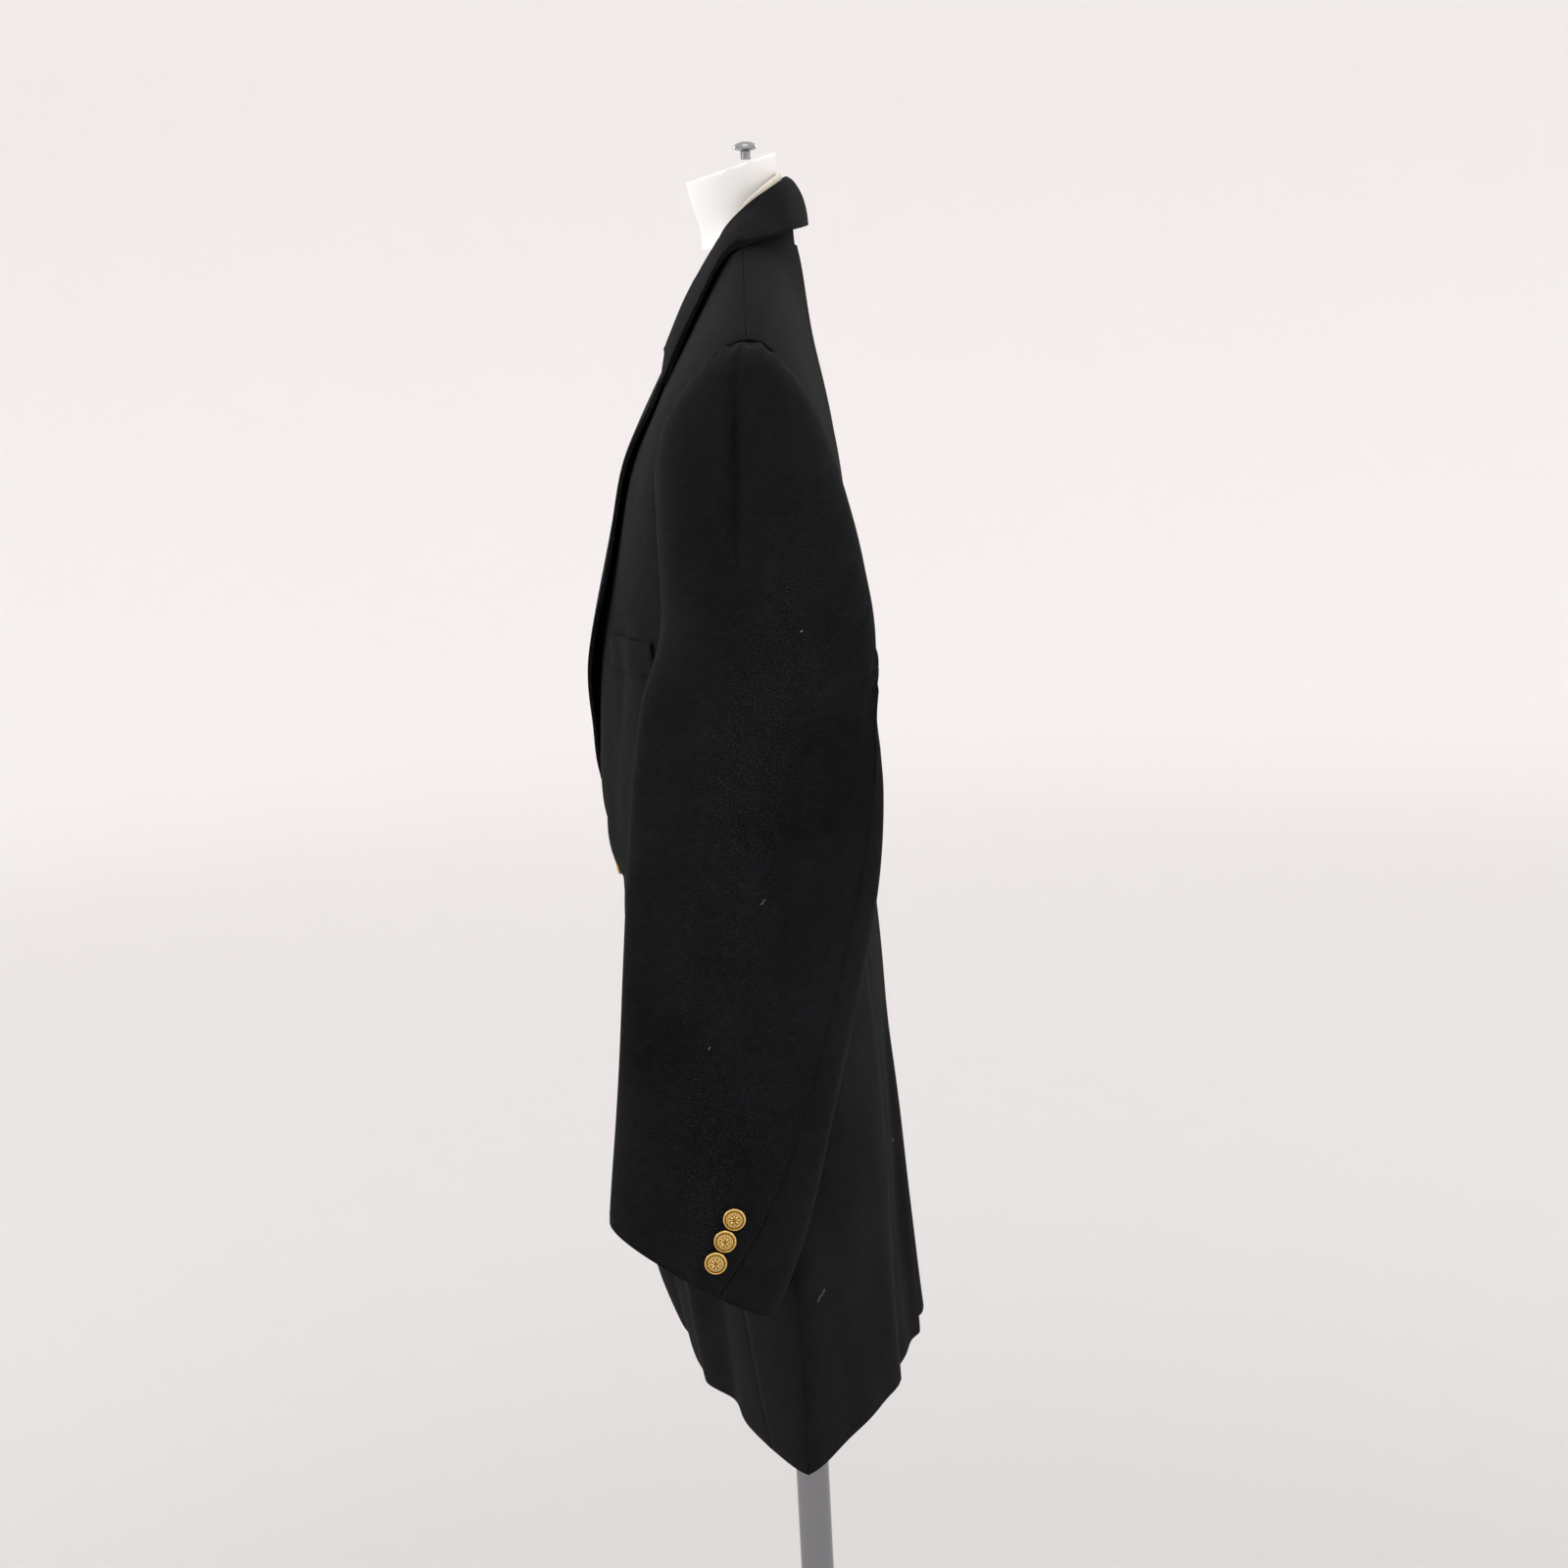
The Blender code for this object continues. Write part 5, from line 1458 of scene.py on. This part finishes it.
class BLAZER_OT_form(bpy.types.Operator):
    """Makes the limbless form: torso, neck and the cotton cover that shows inside the collar."""
    bl_idname = "blazer.form"
    bl_label = "Dress form"

    def execute(self, context):
        for node in ("form_torso", "form_neck"):
            piece = refined(f"{node}_shell", node, levels=3, crease=0.55, crease_angle=45)
            piece.data.materials.append(bpy.data.materials["moulded_polyethylene"])
            keep(piece, node)
        self.cover()
        return {"FINISHED"}

    def cover(self):
        """A band of knitted cotton just inside the collar."""
        line = []
        for place in np.linspace(0, len(COVER_EDGE) - 1, COVER_STEPS):
            low = min(int(place), len(COVER_EDGE) - 2)
            line.append(Vector(COVER_EDGE[low]).lerp(Vector(COVER_EDGE[low + 1]), place - low))
        line = line + [Vector((-p.x, p.y, p.z)) for p in reversed(line[:-1])]
        form = bmesh.new()
        rows = [[form.verts.new((p.x * (1 + COVER_FLARE * depth), p.y + COVER_SLOPE * depth,
                                 p.z - depth)) for p in line]
                for depth in np.linspace(0, COVER_DEPTH, COVER_ROWS)]
        for upper, lower in zip(rows, rows[1:]):
            for k in range(len(line) - 1):
                form.faces.new((upper[k], upper[k + 1], lower[k + 1], lower[k]))
        mesh = bpy.data.meshes.new("cover")
        form.to_mesh(mesh)
        form.free()
        piece = link("form_cover", mesh)
        wall = piece.modifiers.new("Cloth", "SOLIDIFY")
        wall.thickness = COVER_CLOTH
        wall.offset = 0
        subdivide(piece, levels=2)
        mesh = evaluated(piece).data
        form = bmesh.new()
        form.from_mesh(mesh)
        facing_out(form, mesh)
        mesh.shade_smooth()
        lay_threads(mesh, body_across)
        mesh.materials.append(bpy.data.materials["knitted_cotton"])
        keep(piece)


class BLAZER_OT_stand(bpy.types.Operator):
    """Makes the plated knob, pole and base."""
    bl_idname = "blazer.stand"
    bl_label = "Stand"

    def execute(self, context):
        for node in ("form_knob", "pole", "base"):
            piece = refined(f"{node}_steel", node, levels=2, crease=0.85, crease_angle=25)
            piece.data.materials.append(bpy.data.materials["chrome_plated_steel"])
            keep(piece, node)
        return {"FINISHED"}


# The photograph's view, in its pixels: its width, its focal length, and how far above its middle
# the horizon lies
PHOTO_WIDTH = 1600
PHOTO_FOCAL = 2970
PHOTO_HORIZON = 634
# The camera's place, its tilt down and its lean, and its sensor's width and its lens, both in
# millimetres
CAMERA_PLACE = (2.05, 0.0046, 1.47)
CAMERA_DOWN = math.atan(PHOTO_HORIZON / PHOTO_FOCAL)
CAMERA_LEAN = math.radians(2.9)
SENSOR_WIDTH = 36.0
CAMERA_LENS = SENSOR_WIDTH * PHOTO_FOCAL / PHOTO_WIDTH
# The pale floor is round and curves up into a wall
COVE_RADIUS = 6.0
COVE_CURVE = 1.6
COVE_HEIGHT = 6.0
COVE_DROP = 0.0005
COVE_STEPS = 12
COVE_SIDES = 96
# Soft round lights, aimed at the chest, each with a share of the key light's power
Lamp = namedtuple("Lamp", "name place size share")
LAMPS = (
    Lamp("near_front", (0.9, -2.2, 2.0), 1.2, 1.0),
    Lamp("near_back", (0.9, 2.2, 2.3), 1.2, 0.8),
    Lamp("far_front", (-1.6, -1.8, 2.3), 1.2, 0.7),
    Lamp("far_back", (-1.8, 1.5, 2.4), 1.2, 0.7),
    Lamp("overhead", (0.3, 0.0, 3.8), 1.5, 0.8),
)
AIM = Vector((0, 0, 1.05))
SKY_COLOUR = linear("#fffdfb")


class BLAZER_OT_stage(bpy.types.Operator):
    """Makes the pale floor, the soft lights and the camera."""
    bl_idname = "blazer.stage"
    bl_label = "Stage"

    def execute(self, context):
        settings = context.scene.blazer_stage
        self.cove()
        for lamp in LAMPS:
            light = bpy.data.lights.new(lamp.name, "AREA")
            light.shape = "DISK"
            light.size = lamp.size
            light.energy = settings.key * lamp.share
            made = link(lamp.name, light)
            made.location = lamp.place
            made.visible_camera = False
            aim = AIM - Vector(lamp.place)
            made.rotation_euler = aim.to_track_quat("-Z", "Y").to_euler()
        world = bpy.data.worlds.new("studio")
        world.use_nodes = True
        sky = world.node_tree.nodes["Background"]
        sky.inputs["Color"].default_value = shade(SKY_COLOUR)
        sky.inputs["Strength"].default_value = settings.sky
        context.scene.world = world
        context.scene.view_settings.view_transform = "Standard"
        self.camera(context.scene)
        return {"FINISHED"}

    def cove(self):
        """The floor and wall, turned from their profile."""
        profile = [(0.0, 0.0), (COVE_RADIUS - COVE_CURVE, 0.0)]
        for step in range(1, COVE_STEPS + 1):
            turn = math.pi / 2 * step / COVE_STEPS
            profile.append((COVE_RADIUS - COVE_CURVE * (1 - math.sin(turn)),
                            COVE_CURVE * (1 - math.cos(turn))))
        profile.append((COVE_RADIUS, COVE_HEIGHT))
        mesh = path_mesh("cove", [[(r, 0, z - COVE_DROP) for r, z in profile]])
        floor = link("floor", mesh)
        turned = floor.modifiers.new("Turn", "SCREW")
        turned.steps = COVE_SIDES
        turned.render_steps = COVE_SIDES
        turned.use_merge_vertices = True
        turned.merge_threshold = 0.0001
        turned.use_normal_flip = True
        evaluated(floor)
        floor.data.shade_smooth()
        floor.data.materials.append(bpy.data.materials["painted_board"])
        floor.visible_shadow = False

    def camera(self, scene):
        """The camera stands at the wearer's left, as high as the neck."""
        lens = bpy.data.cameras.new("camera")
        lens.lens = CAMERA_LENS
        camera = link("camera", lens)
        look = Vector((-math.cos(CAMERA_DOWN), 0, -math.sin(CAMERA_DOWN)))
        down = Vector((math.sin(CAMERA_DOWN), 0, -math.cos(CAMERA_DOWN)))
        right = Vector((0, 1, 0))
        image_right = right * math.cos(CAMERA_LEAN) + down * math.sin(CAMERA_LEAN)
        image_down = down * math.cos(CAMERA_LEAN) - right * math.sin(CAMERA_LEAN)
        turn = Matrix((image_right, -image_down, -look)).transposed()
        camera.matrix_world = Matrix.Translation(CAMERA_PLACE) @ turn.to_4x4()
        scene.camera = camera


class BLAZER_PT_panel(bpy.types.Panel):
    """Lists the settings and the steps."""
    bl_idname = "BLAZER_PT_panel"
    bl_label = "Blazer"
    bl_space_type = "VIEW_3D"
    bl_region_type = "UI"
    bl_category = "Blazer"

    def draw(self, context):
        for name, _ in SETTINGS:
            group = getattr(context.scene, name)
            box = self.layout.box()
            for value in group.bl_rna.properties:
                if value.identifier not in ("rna_type", "name"):
                    box.prop(group, value.identifier)
        for step in STEPS:
            self.layout.operator(step.bl_idname)


SETTINGS = (
    ("blazer_wool", WoolSettings),
    ("blazer_buttons", ButtonSettings),
    ("blazer_stitches", StitchSettings),
    ("blazer_form", FormSettings),
    ("blazer_stage", StageSettings),
)
STEPS = (
    BLAZER_OT_materials,
    BLAZER_OT_body,
    BLAZER_OT_collar,
    BLAZER_OT_sleeves,
    BLAZER_OT_pockets,
    BLAZER_OT_buttons,
    BLAZER_OT_stitches,
    BLAZER_OT_lint,
    BLAZER_OT_form,
    BLAZER_OT_stand,
    BLAZER_OT_stage,
)


def register():
    for name, group in SETTINGS:
        bpy.utils.register_class(group)
        setattr(bpy.types.Scene, name, PointerProperty(type=group))
    for step in STEPS:
        bpy.utils.register_class(step)
    bpy.utils.register_class(BLAZER_PT_panel)


def unregister():
    bpy.utils.unregister_class(BLAZER_PT_panel)
    for step in reversed(STEPS):
        bpy.utils.unregister_class(step)
    for name, group in reversed(SETTINGS):
        delattr(bpy.types.Scene, name)
        bpy.utils.unregister_class(group)


def main():
    register()
    bpy.ops.blazer.materials()
    bpy.ops.blazer.body()
    bpy.ops.blazer.collar()
    bpy.ops.blazer.sleeves()
    bpy.ops.blazer.pockets()
    bpy.ops.blazer.buttons()
    bpy.ops.blazer.stitches()
    bpy.ops.blazer.lint()
    bpy.ops.blazer.form()
    bpy.ops.blazer.stand()
    bpy.ops.blazer.stage()


if __name__ == "__main__":
    main()
